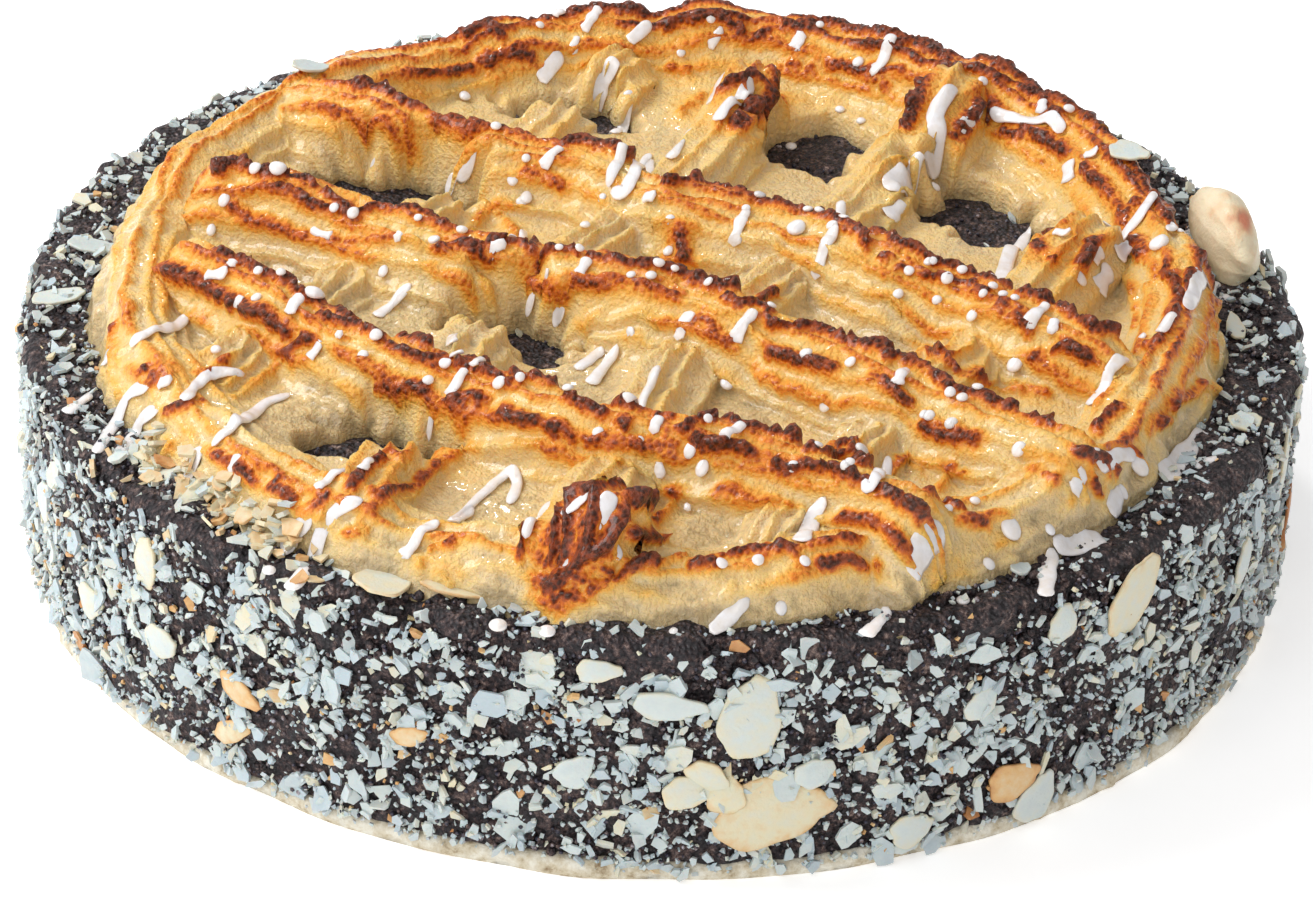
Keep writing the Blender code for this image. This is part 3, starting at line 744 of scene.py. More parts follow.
# %% Looking things up from above
# A ray is followed between these heights in millimetres, and one that meets nothing stops above its last
# steps.
RAY_HIGH, RAY_LOW, RAY_STEP = 74.0, 51.9, 0.1
RAY_LAST_STEPS = 60
# How many steps of a ray past the first near miss are searched for the crest.
CREST_WINDOW = 50


class TopMap:
    """Heights of the top on an even grid, with ways to look them up."""

    def __init__(self, heights):
        self.heights = heights
        self.step = 2 * PLAN_HALF / (heights.shape[0] - 1)

    def at(self, x, y):
        """Height at each place, blended between the four nearest grid points."""
        last = self.heights.shape[0] - 2
        u, v = (np.clip((value + PLAN_HALF) / self.step, 0.0, last) for value in (x, y))
        i, j = u.astype(int), v.astype(int)
        p, q = u - i, v - j
        near_side = self.heights[i, j] * (1 - p) + self.heights[i + 1, j] * p
        far_side = self.heights[i, j + 1] * (1 - p) + self.heights[i + 1, j + 1] * p
        return near_side * (1 - q) + far_side * q

    def seen(self, pixels, clearance=0.0):
        """The place that each pixel of the photo shows: the first point, in steps of 0.1 mm down the ray
        from the camera, that is not above the map. A ray that passes over a crest with less than the
        clearance stops at that crest, where it is least above the map."""
        pixels = np.asarray(pixels, float)
        across = (pixels[:, 0] - PHOTO_WIDTH / 2)[:, None] * np.array(camera_right)
        down = (pixels[:, 1] - PHOTO_HEIGHT / 2)[:, None] * np.array(camera_up)
        rays = np.array(camera_forward) * FOCAL_PIXELS + across - down
        levels = np.arange(RAY_HIGH, RAY_LOW, -RAY_STEP) * MM
        steps = (levels[None, :] - eye.z) / rays[:, 2:3]
        path = np.array(eye)[None, None, :] + rays[:, None, :] * steps[..., None]
        above = path[..., 2] - self.at(path[..., 0], path[..., 1])
        step = np.arange(above.shape[1])[None, :]
        low_enough = above <= max(clearance, 1e-6)
        nearest = above[:, :-RAY_LAST_STEPS].argmin(axis=1)
        first = np.where(low_enough.any(axis=1), low_enough.argmax(axis=1), nearest)[:, None]
        window = (step >= first) & (step <= first + CREST_WINDOW) if clearance else step >= first
        met = window & (above <= 0.0)
        least = np.where(window, above, np.inf).argmin(axis=1)
        return path[np.arange(len(path)), np.where(met.any(axis=1), met.argmax(axis=1), least)]


def pixels(text):
    """Pixels written as pairs, such as 340,77 375,78."""
    return np.array([[float(part) for part in pair.split(",")] for pair in text.split()])


def blurred(field, reach):
    """The field averaged three times over a square of the given reach, in cells."""
    width = 2 * reach + 1
    for _ in range(3):
        for axis in (0, 1):
            pad = [(reach + 1, reach) if k == axis else (0, 0) for k in (0, 1)]
            total = np.cumsum(np.pad(field, pad, mode="edge"), axis=axis)
            count = field.shape[axis]
            upper = np.take(total, range(width, width + count), axis=axis)
            field = (upper - np.take(total, range(count), axis=axis)) / width
    return field


def highest_near(field, reach):
    """The highest value within so many cells, along one side of the grid and then the other."""
    for axis in (0, 1):
        field = np.maximum.reduce([np.roll(field, shift, axis) for shift in range(-reach, reach + 1)])
    return field


paste_swell = TopMap(LATTICE_FLOOR + body)
print("the middle of the photo shows the place", np.round(1000 * paste_swell.seen([(656, 300)])[0]), "mm")

# %% [markdown]
# ## Ridges of the nozzle
# A star nozzle leaves ridges along each strand. Low ones are found everywhere, and are added from the
# distance beside each route. The high ones stood up in the oven's heat: they are torn into teeth, blistered
# and browned, and each has its own place in the photo. They are kept as lines of pixels.

# %% Low ridges everywhere
# Ridges beside each route: place to the left, height and half width in millimetres, and how brown.
STRIP_FLUTES = (
    (-18.5, 1.3, 1.2, 0.0), (-15.2, 1.8, 1.0, 0.12), (-12.0, 2.0, 0.95, 0.25), (-8.8, 1.9, 0.9, 0.4),
    (-5.6, 1.6, 0.9, 0.45), (-2.4, 1.4, 0.9, 0.5), (1.0, 1.3, 0.9, 0.5), (4.6, 1.5, 1.0, 0.3),
    (8.2, 1.1, 1.2, 0.0),
)
UNDER_FLUTES = (
    (-10.2, 1.1, 1.0, 0.0), (-6.8, 1.7, 1.0, 0.05), (-3.4, 2.0, 0.95, 0.12), (0.0, 2.1, 0.95, 0.15),
    (3.4, 2.0, 0.95, 0.12), (6.8, 1.7, 1.0, 0.05), (10.2, 1.1, 1.0, 0.0),
)
RING_FLUTES = (
    (-7.5, 0.8, 1.0, 0.15), (-4.6, 1.2, 1.1, 0.5), (-1.4, 1.4, 1.0, 0.75), (2.2, 1.3, 1.0, 0.6),
    (6.0, 1.3, 1.1, 0.45), (9.8, 1.2, 1.2, 0.3), (13.6, 1.0, 1.2, 0.15), (17.5, 0.8, 1.3, 0.0),
    (21.0, 0.6, 1.3, 0.0),
)
warp_x = plan_x + MM * (0.55 * plan_noise(4.0 * MM, 81) + 0.25 * plan_noise(1.9 * MM, 82))
warp_y = plan_y + MM * (0.55 * plan_noise(4.0 * MM, 83) + 0.25 * plan_noise(1.9 * MM, 84))
jitter = MM * (0.5 * plan_noise(4.5 * MM, 85) + 0.25 * plan_noise(2.0 * MM, 86))

ring_angle = np.degrees(np.arctan2(plan_y - RING_CENTRE[1], plan_x - RING_CENTRE[0]))
ring_browning = 0.5 + 0.5 * np.clip(near(ring_angle, 72.0, 75.0) + near(ring_angle, -20.0, 25.0), 0.0, 1.0)

relief = np.zeros_like(body)
heat = np.zeros_like(body)
for number, (name, (along, beside, own_body)) in enumerate(strands.items()):
    others = np.maximum.reduce([other for key, (_, _, other) in strands.items() if key != name])
    on_top = smoothstep(-1.5 * MM, 1.0 * MM, own_body - np.maximum(others, bed))
    flutes = RING_FLUTES if name == "ring" else UNDER_FLUTES if name.startswith("under") else STRIP_FLUTES
    fluted, browned = np.zeros_like(body), np.zeros_like(body)
    for k, (place, high, width, brown) in enumerate(flutes):
        seed = 200 + 30 * number + 3 * k
        wander = 1.1 * MM * line_noise(along, 24.0 * MM, seed)
        vary = 1.0 + 0.6 * line_noise(along, 11.0 * MM, seed + 1, 3)
        off = np.abs(beside + jitter - place * MM - wander) / (width * MM)
        fluted = np.maximum(fluted, high * MM * vary * np.exp(-(off**1.35)))
        patch = smoothstep(-0.35, 0.45, line_noise(along, 13.0 * MM, seed + 2, 2) + brown - 0.4)
        if name == "ring":
            patch = patch * ring_browning + 0.8 * near(ring_angle, 68.0, 52.0)
        browned = np.maximum(browned, brown * patch * np.exp(-((off / 1.2) ** 2)))
    folds = np.stack([along, 6.0 * beside, np.full_like(along, 0.2 * number)], axis=-1)
    fluted = fluted + 0.3 * MM * soft_noise(folds, 13.0 * MM, 93)
    relief = relief + on_top * fluted
    heat = np.maximum(heat, on_top * browned)
print("low ridges up to", round(1000 * relief.max(), 1), "mm")

# %% Browned ridges, read off the photo
# Each line: height in millimetres, how brown, and the pixels along its crest.
BROWNED_RIDGES = """
1.9 1.00 340,77 375,78 407,100
1.5 0.65 407,100 430,112 460,122 490,118 512,127 540,137 560,142
2.2 1.00 560,142 582,137 605,132 625,147
1.8 0.80 667,180 705,177 745,190 775,200
2.1 0.95 775,200 800,197 815,212 840,215 865,240
2.1 0.95 875,225 890,230 900,240 932,255 957,260 977,267 1010,277 1030,290 1050,302 1072,312 1092,325 1112,330
1.5 0.70 882,252 907,267 935,275 965,282 997,297 1020,315 1030,330
1.0 0.45 322,102 350,114 375,127 400,137
1.1 0.50 525,165 545,172 562,185
1.5 0.95 1040,350 1065,345 1090,352
2.3 1.05 222,165 237,162 267,170 287,175 310,180 330,190 350,202
1.6 0.80 272,180 295,190 315,200 340,207 355,212 375,207 395,207 422,205 450,227
1.9 0.90 462,215 482,210 512,222 535,232 560,237
1.5 0.75 440,245 470,245 495,255
2.0 0.90 490,240 512,242 545,247 575,252 600,255 625,260 650,265 675,272 707,282 735,300
2.0 0.90 735,300 760,305 772,320 800,325 820,330 845,340 857,337 875,345 900,357 925,367 950,385
2.1 1.00 950,385 970,392 1000,400 1025,407 1050,422
2.3 1.10 650,250 672,247 687,260 705,272 730,285
1.8 0.85 730,285 770,290
1.9 0.90 870,330 895,342 922,347 950,362 972,372 1015,387 1045,390
1.2 0.60 232,200 260,217 290,227 307,232
1.0 0.45 307,232 340,237 375,237 395,237
1.3 0.60 527,272 550,280 590,282 625,280 650,285 675,295
1.3 0.65 700,315 715,325 730,335
1.4 0.80 775,352 805,357 835,362
1.4 0.80 870,372 890,382 907,400
1.4 0.80 925,422 955,432 975,435
2.2 1.00 1075,447 1095,452 1110,462
2.0 1.00 1125,442 1140,458
1.8 1.00 1083,472 1103,492
1.2 0.60 1034,467 1053,475
2.2 0.95 215,247 237,255 262,270 285,282 305,297 325,302 340,300 350,320
1.9 0.95 172,262 190,268 207,278 225,290 245,302 275,317 292,330
1.9 0.90 320,312 355,327 375,332 395,342 417,352 445,357 470,367 490,372 512,380
1.9 0.95 506,404 527,412 555,425
1.8 0.90 400,335 425,330
1.8 0.90 462,345 482,355
1.8 0.90 510,372 522,378
2.0 0.95 535,365 550,380
1.9 0.85 567,398 585,404 604,409 625,419
2.0 0.90 617,390 643,409 669,417
2.4 1.10 685,422 719,409 743,417 769,422 796,430 819,440 848,440 861,446 896,456 919,461
2.1 1.00 693,432 717,438 733,440 756,451 783,459 809,461 835,467 859,477 875,482 901,498 917,509
1.4 0.85 287,350 300,342 315,337
1.0 0.50 340,350 370,367
1.3 0.75 382,382 405,386 430,390
1.5 0.95 455,392 485,395
1.1 0.60 556,422 572,435
1.1 0.60 588,440 627,443 664,438 677,443
1.1 0.60 722,485 738,486
0.9 0.35 770,505 795,507
1.4 0.80 846,511 875,517 896,530 906,543
1.8 0.80 927,488 945,476 962,470
1.4 0.80 950,505 958,508
1.5 0.85 967,516 982,522 996,533
1.5 0.85 929,578 945,570 962,566
1.6 0.90 693,562 714,560
1.7 0.90 727,554 755,551 790,548 801,561
1.4 0.75 814,543 835,540 856,538
1.5 1.00 819,559 848,554 875,564
3.0 1.15 638,496 610,520 580,552 556,577
2.5 0.95 543,504 532,525 522,548
2.2 1.00 580,490 600,486 617,480
1.9 0.90 627,527 645,530 664,535
2.0 0.95 590,585 620,570 654,558
1.9 0.90 596,560 625,575 645,590
1.7 0.90 643,495 675,488
1.1 0.40 648,568 683,556
1.6 0.90 118,322 116,345 114,370 125,393
1.4 0.80 148,365 160,378
1.6 0.85 168,413 185,405 200,402
1.2 0.50 197,372 210,372
1.2 0.60 221,362 226,368
1.7 0.50 230,395 252,380 277,362
1.4 0.80 136,452 145,447
1.5 0.85 162,458 170,448 177,443
1.7 0.90 218,450 235,460 258,474
1.6 0.85 278,478 290,488 300,496
1.7 0.90 306,506 318,498 327,492
1.8 1.00 351,485 368,472
1.8 0.85 365,512 392,487 415,475 437,465 470,442
1.5 0.80 371,468 385,460 397,453
1.4 0.80 341,540 352,533 365,526
2.3 0.90 420,560 435,545 452,537
1.2 0.70 437,565 450,583
1.6 0.85 1167,267 1177,285 1177,305 1172,330
1.8 0.90 1192,252 1205,280 1210,305 1210,355
1.2 0.40 1137,292 1139,310 1137,325
1.7 0.90 1142,345 1155,340 1166,340
2.2 1.00 1167,400 1190,388 1215,380
1.6 0.90 1148,422 1160,416 1171,413
1.5 0.85 1101,425 1110,415 1120,404
2.0 1.00 1040,222 1060,225
2.0 1.00 1043,232 1050,255
2.5 1.10 1092,232 1084,245 1078,258
1.8 0.90 1137,236 1145,250
2.2 1.05 683,108 692,98 703,88
2.3 1.10 728,84 742,76 755,72
2.3 1.10 733,118 755,106 783,92
1.6 0.70 672,66 690,68
3.0 1.20 930,68 922,88 908,118
2.4 1.10 975,92 962,112 950,127
1.8 0.95 990,100 985,118
1.6 0.90 345,80 365,76 385,90 400,98
1.5 0.80 410,68 440,66 470,63
1.7 1.00 488,56 505,51 530,50
1.8 1.00 468,34 485,24 500,32
1.6 0.80 530,16 545,10 575,7 600,6 640,10
1.7 0.90 670,22 690,17 708,12 725,16 740,26
1.7 0.95 755,30 785,22 812,20 840,22 865,26 890,32 925,38 960,52 990,62 1020,76 1050,94
1.6 0.95 1050,92 1075,97 1095,110 1107,122 1097,132
1.3 0.60 790,61 820,64 850,66 870,75 890,85
1.4 0.90 1005,128 1030,132 1055,142 1066,150
1.4 0.85 1085,165 1100,180 1106,190
1.4 0.85 1110,155 1125,172 1137,186
1.4 0.90 1140,175 1152,188
1.4 0.90 1150,195 1160,205 1164,218
1.2 0.80 1130,212 1136,200
1.2 0.60 310,100 340,115 375,128
1.5 0.90 870,40 900,42 940,54 970,64 1000,77 1035,97 1060,112
"""
# The front mound is browned all over its top: an oval in the terms of the holes.
BROWNED_CAP = (-14.0, -113.5, 10.5, 6.5, 57.0)
PIXELS_PER_MM_UP = 4.1
CREST_CLEARANCE = 3.5 * MM
RIDGE_STEP = 0.4 * MM
# Half width of a ridge 2 mm high, in millimetres.
RIDGE_WIDTH = 1.15
RIDGE_REACH = 7.0 * MM
glow = np.zeros_like(body)
crest_near = np.zeros_like(body)
ridge_relief = np.zeros_like(body)


def ridge_places(line):
    """A ridge's height, brownness and route on the paste. Its crest stands above the swell, so the ray is
    aimed lower by what the crest's height covers in the photo."""
    high, brown, *pairs = line.split()
    high, brown, crest = float(high), float(brown), pixels(" ".join(pairs))
    crest[:, 1] += PIXELS_PER_MM_UP * high
    return high, brown, smooth_route(paste_swell.seen(crest, CREST_CLEARANCE)[:, :2], RIDGE_STEP)


for number, line in enumerate(BROWNED_RIDGES.strip().splitlines()):
    high, brown, route = ridge_places(line)
    low_x, low_y = np.searchsorted(across_plan, route.min(axis=0) - RIDGE_REACH)
    high_x, high_y = np.searchsorted(across_plan, route.max(axis=0) + RIDGE_REACH)
    patch = (slice(low_x, high_x), slice(low_y, high_y))
    along, _, away = along_and_beside(warp_x[patch], warp_y[patch], route)
    length = (len(route) - 1) * RIDGE_STEP
    stations = np.linspace(0.0, length, len(route))
    own_level = np.interp(along, stations, paste_swell.at(route[:, 0], route[:, 1]) - LATTICE_FLOOR)
    away = np.hypot(away, 0.8 * (body[patch] - own_level))
    to_end = np.clip(np.minimum(along, length - along) / (2.0 * MM) + 1.0, 0.0, 1.0)
    clump = 0.85 + 0.4 * line_noise(along, 5.0 * MM, 600 + number)
    clump = clump + 0.45 * line_noise(along, 1.7 * MM, 800 + number)
    width = RIDGE_WIDTH * (0.75 + 0.25 * high / 2.0) * MM
    rise = high * MM * clump * np.exp(-((away / width) ** 1.5))
    ridge_relief[patch] = np.maximum(ridge_relief[patch], rise)
    crest_near[patch] = np.maximum(crest_near[patch], to_end * np.exp(-((away / (1.9 * MM)) ** 2)))
    torn = 0.35 + 0.65 * smoothstep(0.25, 0.75, clump)
    heat[patch] = np.maximum(heat[patch], brown * torn * np.exp(-((away / (1.5 * MM)) ** 2.5)))
    glow[patch] = np.maximum(glow[patch], min(brown, 1.0) * np.exp(-((away / (3.7 * MM)) ** 2)))
relief = np.maximum(relief, ridge_relief) + 0.3 * np.minimum(relief, ridge_relief)
heat = heat * smoothstep(4.5 * MM, 7.5 * MM, body)
cap = np.exp(-(oval_reach(*BROWNED_CAP) ** 4))
heat = np.maximum(heat, 1.5 * cap * (0.8 + 0.3 * plan_noise(5.0 * MM, 129)))
glow, crest_near = np.maximum(glow, cap), np.maximum(crest_near, cap)
print(number + 1, "browned ridges")

# %% Blisters, grain and how toasted each place is
base_points = np.stack([plan_x, plan_y, LATTICE_FLOOR + body], axis=-1)
LUMP_SIZE, TOOTH_SIZE, SWELLING_SIZE = 1.9 * MM, 1.1 * MM, 9.0 * MM
lumps = pebbles(base_points, LUMP_SIZE, 130)
teeth = pebbles(base_points, TOOTH_SIZE, 131)
swellings = np.clip(pebbles(base_points, SWELLING_SIZE, 133) - 0.72, 0.0, 1.0)
hot = np.clip(heat, 0.0, 1.0) * (0.35 + 0.65 * crest_near)
relief = relief + MM * hot * (1.0 * lumps + 1.15 * teeth - 0.75)
on_ring = smoothstep(14.0 * MM, 6.0 * MM, strands["ring"][1])
relief = relief + MM * (0.18 * (teeth - 0.5) + 0.26 * rough_noise(base_points, 2.8 * MM, 132, 2))
relief = relief + MM * (0.15 + 0.35 * on_ring) * (1.0 - hot) * (lumps - 0.5)
relief = relief + MM * 0.7 * swellings * (1.0 - hot)
relief = relief * smoothstep(-1.0 * MM, 2.0 * MM, body)

proud = np.clip((relief - blurred(relief, 3)) / (0.7 * MM), -1.0, 1.0)
high_up = smoothstep(3.0 * MM, 14.0 * MM, body)
# The first term keeps the thin foot of the paste, under about 0.5 mm, at the darker, greyer start of the ramp:
# partly the dark cake showing through, partly painted shade at the foot of the walls.
toast = (
    0.08 * smoothstep(0.5 * MM, 5.0 * MM, body)
    + 0.08 * high_up
    + 0.06 * plan_noise(9.0 * MM, 134)
    + 0.06 * smoothstep(-20.0 * MM, 80.0 * MM, plan_y)
    + 0.27 * glow * (0.6 + 0.4 * high_up)
    + 0.62 * heat * (0.3 + 0.7 * np.clip(0.35 + 0.7 * proud + 0.9 * (teeth - 0.5), 0.0, 1.2))
    + 0.09 * proud * (0.4 + glow)
)
toast = np.clip(toast, 0.0, 1.0)
print("toast from", round(float(toast.min()), 2), "to", round(float(toast.max()), 2))

# %% [markdown]
# ## The sheet as a mesh
# The relief is pushed out along the surface's normal and not straight up, or it would smear on steep
# flanks. Only blocks that hold paste become faces. Round them the sheet dips into the cake, where it is
# closed by a flat underside of large faces. One mesh would be too heavy, so it is cut in four bands, and
# each band runs a little way under the next one, so that no seam shows.

# %% Points of the sheet
base_normals = surface_normals(base_points)
base_normals *= np.sign(base_normals[..., 2:3])
sheet = base_points + base_normals * relief[..., None]
top_map = TopMap(LATTICE_FLOOR + body + relief * base_normals[..., 2])
BAND_COUNT = 4
UNDERSIDE = LATTICE_FLOOR + SHEET_DIP - 0.4 * MM
OVERLAP_DROP = 0.012 * MM
blocks = (PLAN_STEPS - 1) // BLOCK
is_paste = body > SHEET_DIP + 0.05 * MM
corner = BLOCK * np.arange(blocks)
block_on = np.zeros((blocks, blocks), bool)
for i in range(BLOCK + 1):
    for j in range(BLOCK + 1):
        block_on |= is_paste[np.ix_(corner + i, corner + j)]
print("highest paste", round(1000 * sheet[..., 2].max(), 1), "mm,", block_on.sum(), "blocks")


# %% Bands of the sheet
def band_mesh(first, last):
    """Points, face sets and toast of the blocks from row first to last, and one more row on each side
    that drops by 0.012 mm times the square of the cells beyond the edge."""
    used = np.zeros_like(block_on)
    low, high = max(first - 1, 0), min(last + 1, blocks)
    used[low:high] = block_on[low:high]
    bi, bj = np.nonzero(used)
    steps = np.arange(BLOCK + 1)
    numbers = np.arange(PLAN_STEPS**2).reshape(PLAN_STEPS, PLAN_STEPS)
    i, j = (a.reshape(-1) for a in np.meshgrid(np.arange(BLOCK), np.arange(BLOCK), indexing="ij"))
    ci, cj = (bi[:, None] * BLOCK + i).ravel(), (bj[:, None] * BLOCK + j).ravel()
    tops = np.stack([
        numbers[ci, cj], numbers[ci + 1, cj], numbers[ci + 1, cj + 1], numbers[ci, cj + 1]
    ], axis=1)
    under = PLAN_STEPS**2
    ui, uj = bi * BLOCK, bj * BLOCK
    bottoms = under + np.stack([
        numbers[ui, uj], numbers[ui, uj + BLOCK], numbers[ui + BLOCK, uj + BLOCK], numbers[ui + BLOCK, uj]
    ], axis=1)
    walls = []
    padded = np.pad(used, 1)
    for di, dj in ((1, 0), (-1, 0), (0, 1), (0, -1)):
        wi, wj = np.nonzero(used & ~padded[1 + di:blocks + 1 + di, 1 + dj:blocks + 1 + dj])
        wi, wj = wi[:, None] * BLOCK, wj[:, None] * BLOCK
        if di:
            edge = numbers[wi + (BLOCK if di > 0 else 0), wj + steps]
        else:
            edge = numbers[wi + steps, wj + (BLOCK if dj > 0 else 0)]
        if di - dj < 0:
            edge = edge[:, ::-1]
        walls.append(np.hstack([edge[:, ::-1], under + edge[:, :1], under + edge[:, -1:]]))
    points = np.vstack([sheet.reshape(-1, 3), base_points.reshape(-1, 3)])
    points[under:, 2] = UNDERSIDE
    row = np.repeat(np.arange(PLAN_STEPS), PLAN_STEPS)
    beyond = np.maximum(first * BLOCK - row, 0) + np.maximum(row - last * BLOCK, 0)
    points[:under, 2] -= OVERLAP_DROP * beyond**2
    sets = [tops, bottoms, np.vstack(walls)]
    kept = np.unique(np.concatenate([faces.ravel() for faces in sets]))
    renumber = np.zeros(len(points), int)
    renumber[kept] = np.arange(kept.size)
    shade = np.concatenate([toast.ravel(), np.zeros(under)])[kept]
    return points[kept], [renumber[faces] for faces in sets], shade


filled = np.cumsum(block_on.sum(axis=1))
cuts = [0, *(int(np.searchsorted(filled, filled[-1] * k / BAND_COUNT)) for k in range(1, BAND_COUNT)), blocks]
print("bands of block rows", cuts)

# %% [markdown]
# ## Baked paste
# In the oven the highest ridges catch the heat first: they go from cream over gold and orange-brown to
# nearly black, while the hollows stay pale and moist. The thin foot of the paste is darker and greyer: partly
# the dark cake showing through, partly painted shade. How toasted each point is was worked out with the
# shape and is kept on the mesh, and the material turns it into colour. A thin glaze lies over all of it.

# %% Paste finish
paste = Recipe(
    "almond_paste_baked", Roughness=0.5, Coat_Roughness=0.08, Specular_IOR_Level=0.35,
    Subsurface_Weight=0.3, Subsurface_Scale=0.004, Subsurface_Radius=(1.0, 0.55, 0.25),
)
toast_and_foot_shade = paste.value_of("toast")
blister = paste.grains(820.0)
speckle = paste.sum(
    paste.stretch(blister, 0.1, 0.6, 1.0, -1.0), paste.stretch(toast_and_foot_shade, 0.30, 0.6, 0.0, 0.15), "MULTIPLY"
)
toast_mixed = paste.shared(
    clouded_tone, Tone=paste.sum(toast_and_foot_shade, speckle), Scale=520.0, Detail=4.0, Roughness=0.6, Spread=0.05
)
paste_colour = paste.ramp(toast_mixed, (
    # The first stop, darker and greyer than the cream, colours the foot of the paste: partly the dark cake
    # showing through, partly painted shade.
    (0.00, srgb(182, 158, 114)),
    (0.08, srgb(228, 199, 144)),
    (0.19, srgb(240, 201, 124)),
    (0.30, srgb(243, 180, 76)),
    (0.42, srgb(237, 142, 34)),
    (0.56, srgb(208, 102, 21)),
    (0.72, srgb(166, 71, 15)),
    (0.88, srgb(116, 48, 12)),
    (1.00, srgb(79, 33, 10)),
))
dome = paste.sum(
    paste.stretch(blister, 0.0, 0.7, 1.0, 0.0), paste.stretch(toast_and_foot_shade, 0.15, 0.6, 0.12, 1.0), "MULTIPLY"
)
paste_grain = paste.sum(dome, paste.stretch(paste.noise(1300.0, 3.0), 0.2, 0.8, 0.0, 0.6))
wet = paste.stretch(toast_and_foot_shade, 0.08, 0.3, 0.7, 0.3)
blistered = paste.bump(paste_grain, 0.0014, 0.85)
almond_paste_baked = paste.into(Base_Color=paste_colour, Coat_Weight=wet, Normal=blistered)
print("finish", almond_paste_baked.name)

# %% Put the sheet on the cake
for band, (first, last) in enumerate(zip(cuts, cuts[1:])):
    points, face_sets, shade = band_mesh(first, last)
    name = f"paste_band_{band + 1}"
    new_piece(name, points, face_sets, almond_paste_baked, "piped_lattice", "almond_paste", toast=shade)

# %% [markdown]
# ## Lump on the rim
# At the right of the back a pale lump of dough stands on the rim, bent along it and higher in its middle.
# A stretched ball would look too even, so its section changes with the height and its skin is dimpled.

# %% The rim lump
LUMP_ANGLE = np.radians(13.0)
LUMP_RADIUS = 118.9 * MM
LUMP_HALF_LENGTH, LUMP_HALF_WIDTH, LUMP_HEIGHT = 15.5 * MM, 5.4 * MM, 13.5 * MM
# From its foot to its top: share of the height, share of the width.
LUMP_LEVELS = ((0.0, 0.86), (0.3, 1.0), (0.62, 0.93), (0.86, 0.66), (0.97, 0.3), (1.0, 0.02))
LUMP_ROWS, LUMP_COLUMNS = 60, 150

share = np.linspace(0.0, 1.0, LUMP_ROWS)
levels = 1.0 - (1.0 - share) ** 1.6
size = np.interp(levels, *np.array(LUMP_LEVELS).T)
turn = np.linspace(0.0, 2.0 * np.pi, LUMP_COLUMNS, endpoint=False)
shift = turn[None, :] + 2.0 * levels[:, None]
bump = size[:, None] * (1.0 + 0.05 * np.sin(2.0 * shift + 0.6) + 0.05 * np.sin(3.0 * shift + 1.9))
wide = LUMP_HALF_WIDTH * bump * np.cos(turn)
long = LUMP_HALF_LENGTH * bump * np.sin(turn)
bent = LUMP_RADIUS + wide - long**2 / (2.0 * LUMP_RADIUS)
lift = LATTICE_FLOOR + LUMP_HEIGHT * levels[:, None] * (1.0 - 0.22 * (long / LUMP_HALF_LENGTH) ** 2)
c, s = np.cos(LUMP_ANGLE), np.sin(LUMP_ANGLE)
lump_grid = np.stack([c * bent - s * long, s * bent + c * long, lift], axis=-1)
lump_normal = surface_normals(lump_grid)
lump_relief = 0.5 * rough_noise(lump_grid, 6.0 * MM, 140) - 0.35 * pebbles(lump_grid, 3.2 * MM, 141)
lump_grid = lump_grid + lump_normal * (MM * lump_relief)[..., None]
lump_faces = [
    ring_faces(LUMP_ROWS, LUMP_COLUMNS),
    np.arange(LUMP_COLUMNS)[None, ::-1],
    (LUMP_ROWS - 1) * LUMP_COLUMNS + np.arange(LUMP_COLUMNS)[None, :],
]
toasted_patches = smoothstep(-0.1, 0.6, rough_noise(lump_grid, 7.0 * MM, 142))
lump_toast = smoothstep(0.55, 1.0, levels)[:, None] * toasted_patches
dough = Recipe(
    "pale_dough_baked", Roughness=0.55, Coat_Weight=0.1, Subsurface_Weight=0.12, Subsurface_Scale=0.004
)
dough_tone = dough.shared(clouded_tone, Tone=dough.value_of("toast"))
dough_colour = dough.ramp(dough_tone, (
    (0.0, srgb(226, 212, 180)),
    (0.35, srgb(222, 190, 150)),
    (0.8, srgb(196, 122, 92)),
))
dough_skin = dough.shared(fine_grain, Scale=1500.0)
pale_dough_baked = dough.into(Base_Color=dough_colour, Normal=dough_skin)
new_piece(
    "rim_lump_dough", lump_grid, lump_faces, pale_dough_baked, "rim_lump", "pale_dough", toast=lump_toast
)

# %% [markdown]
# ## Icing
# Thin sugar icing was flicked over the cake: it fell as short strokes with rounded ends and as drops.
# Curves with a bevel would cut through the rough paste, so each stroke is a ribbon whose every point
# takes its height from the map of the top, a little smoothed, because icing fills what it runs over.

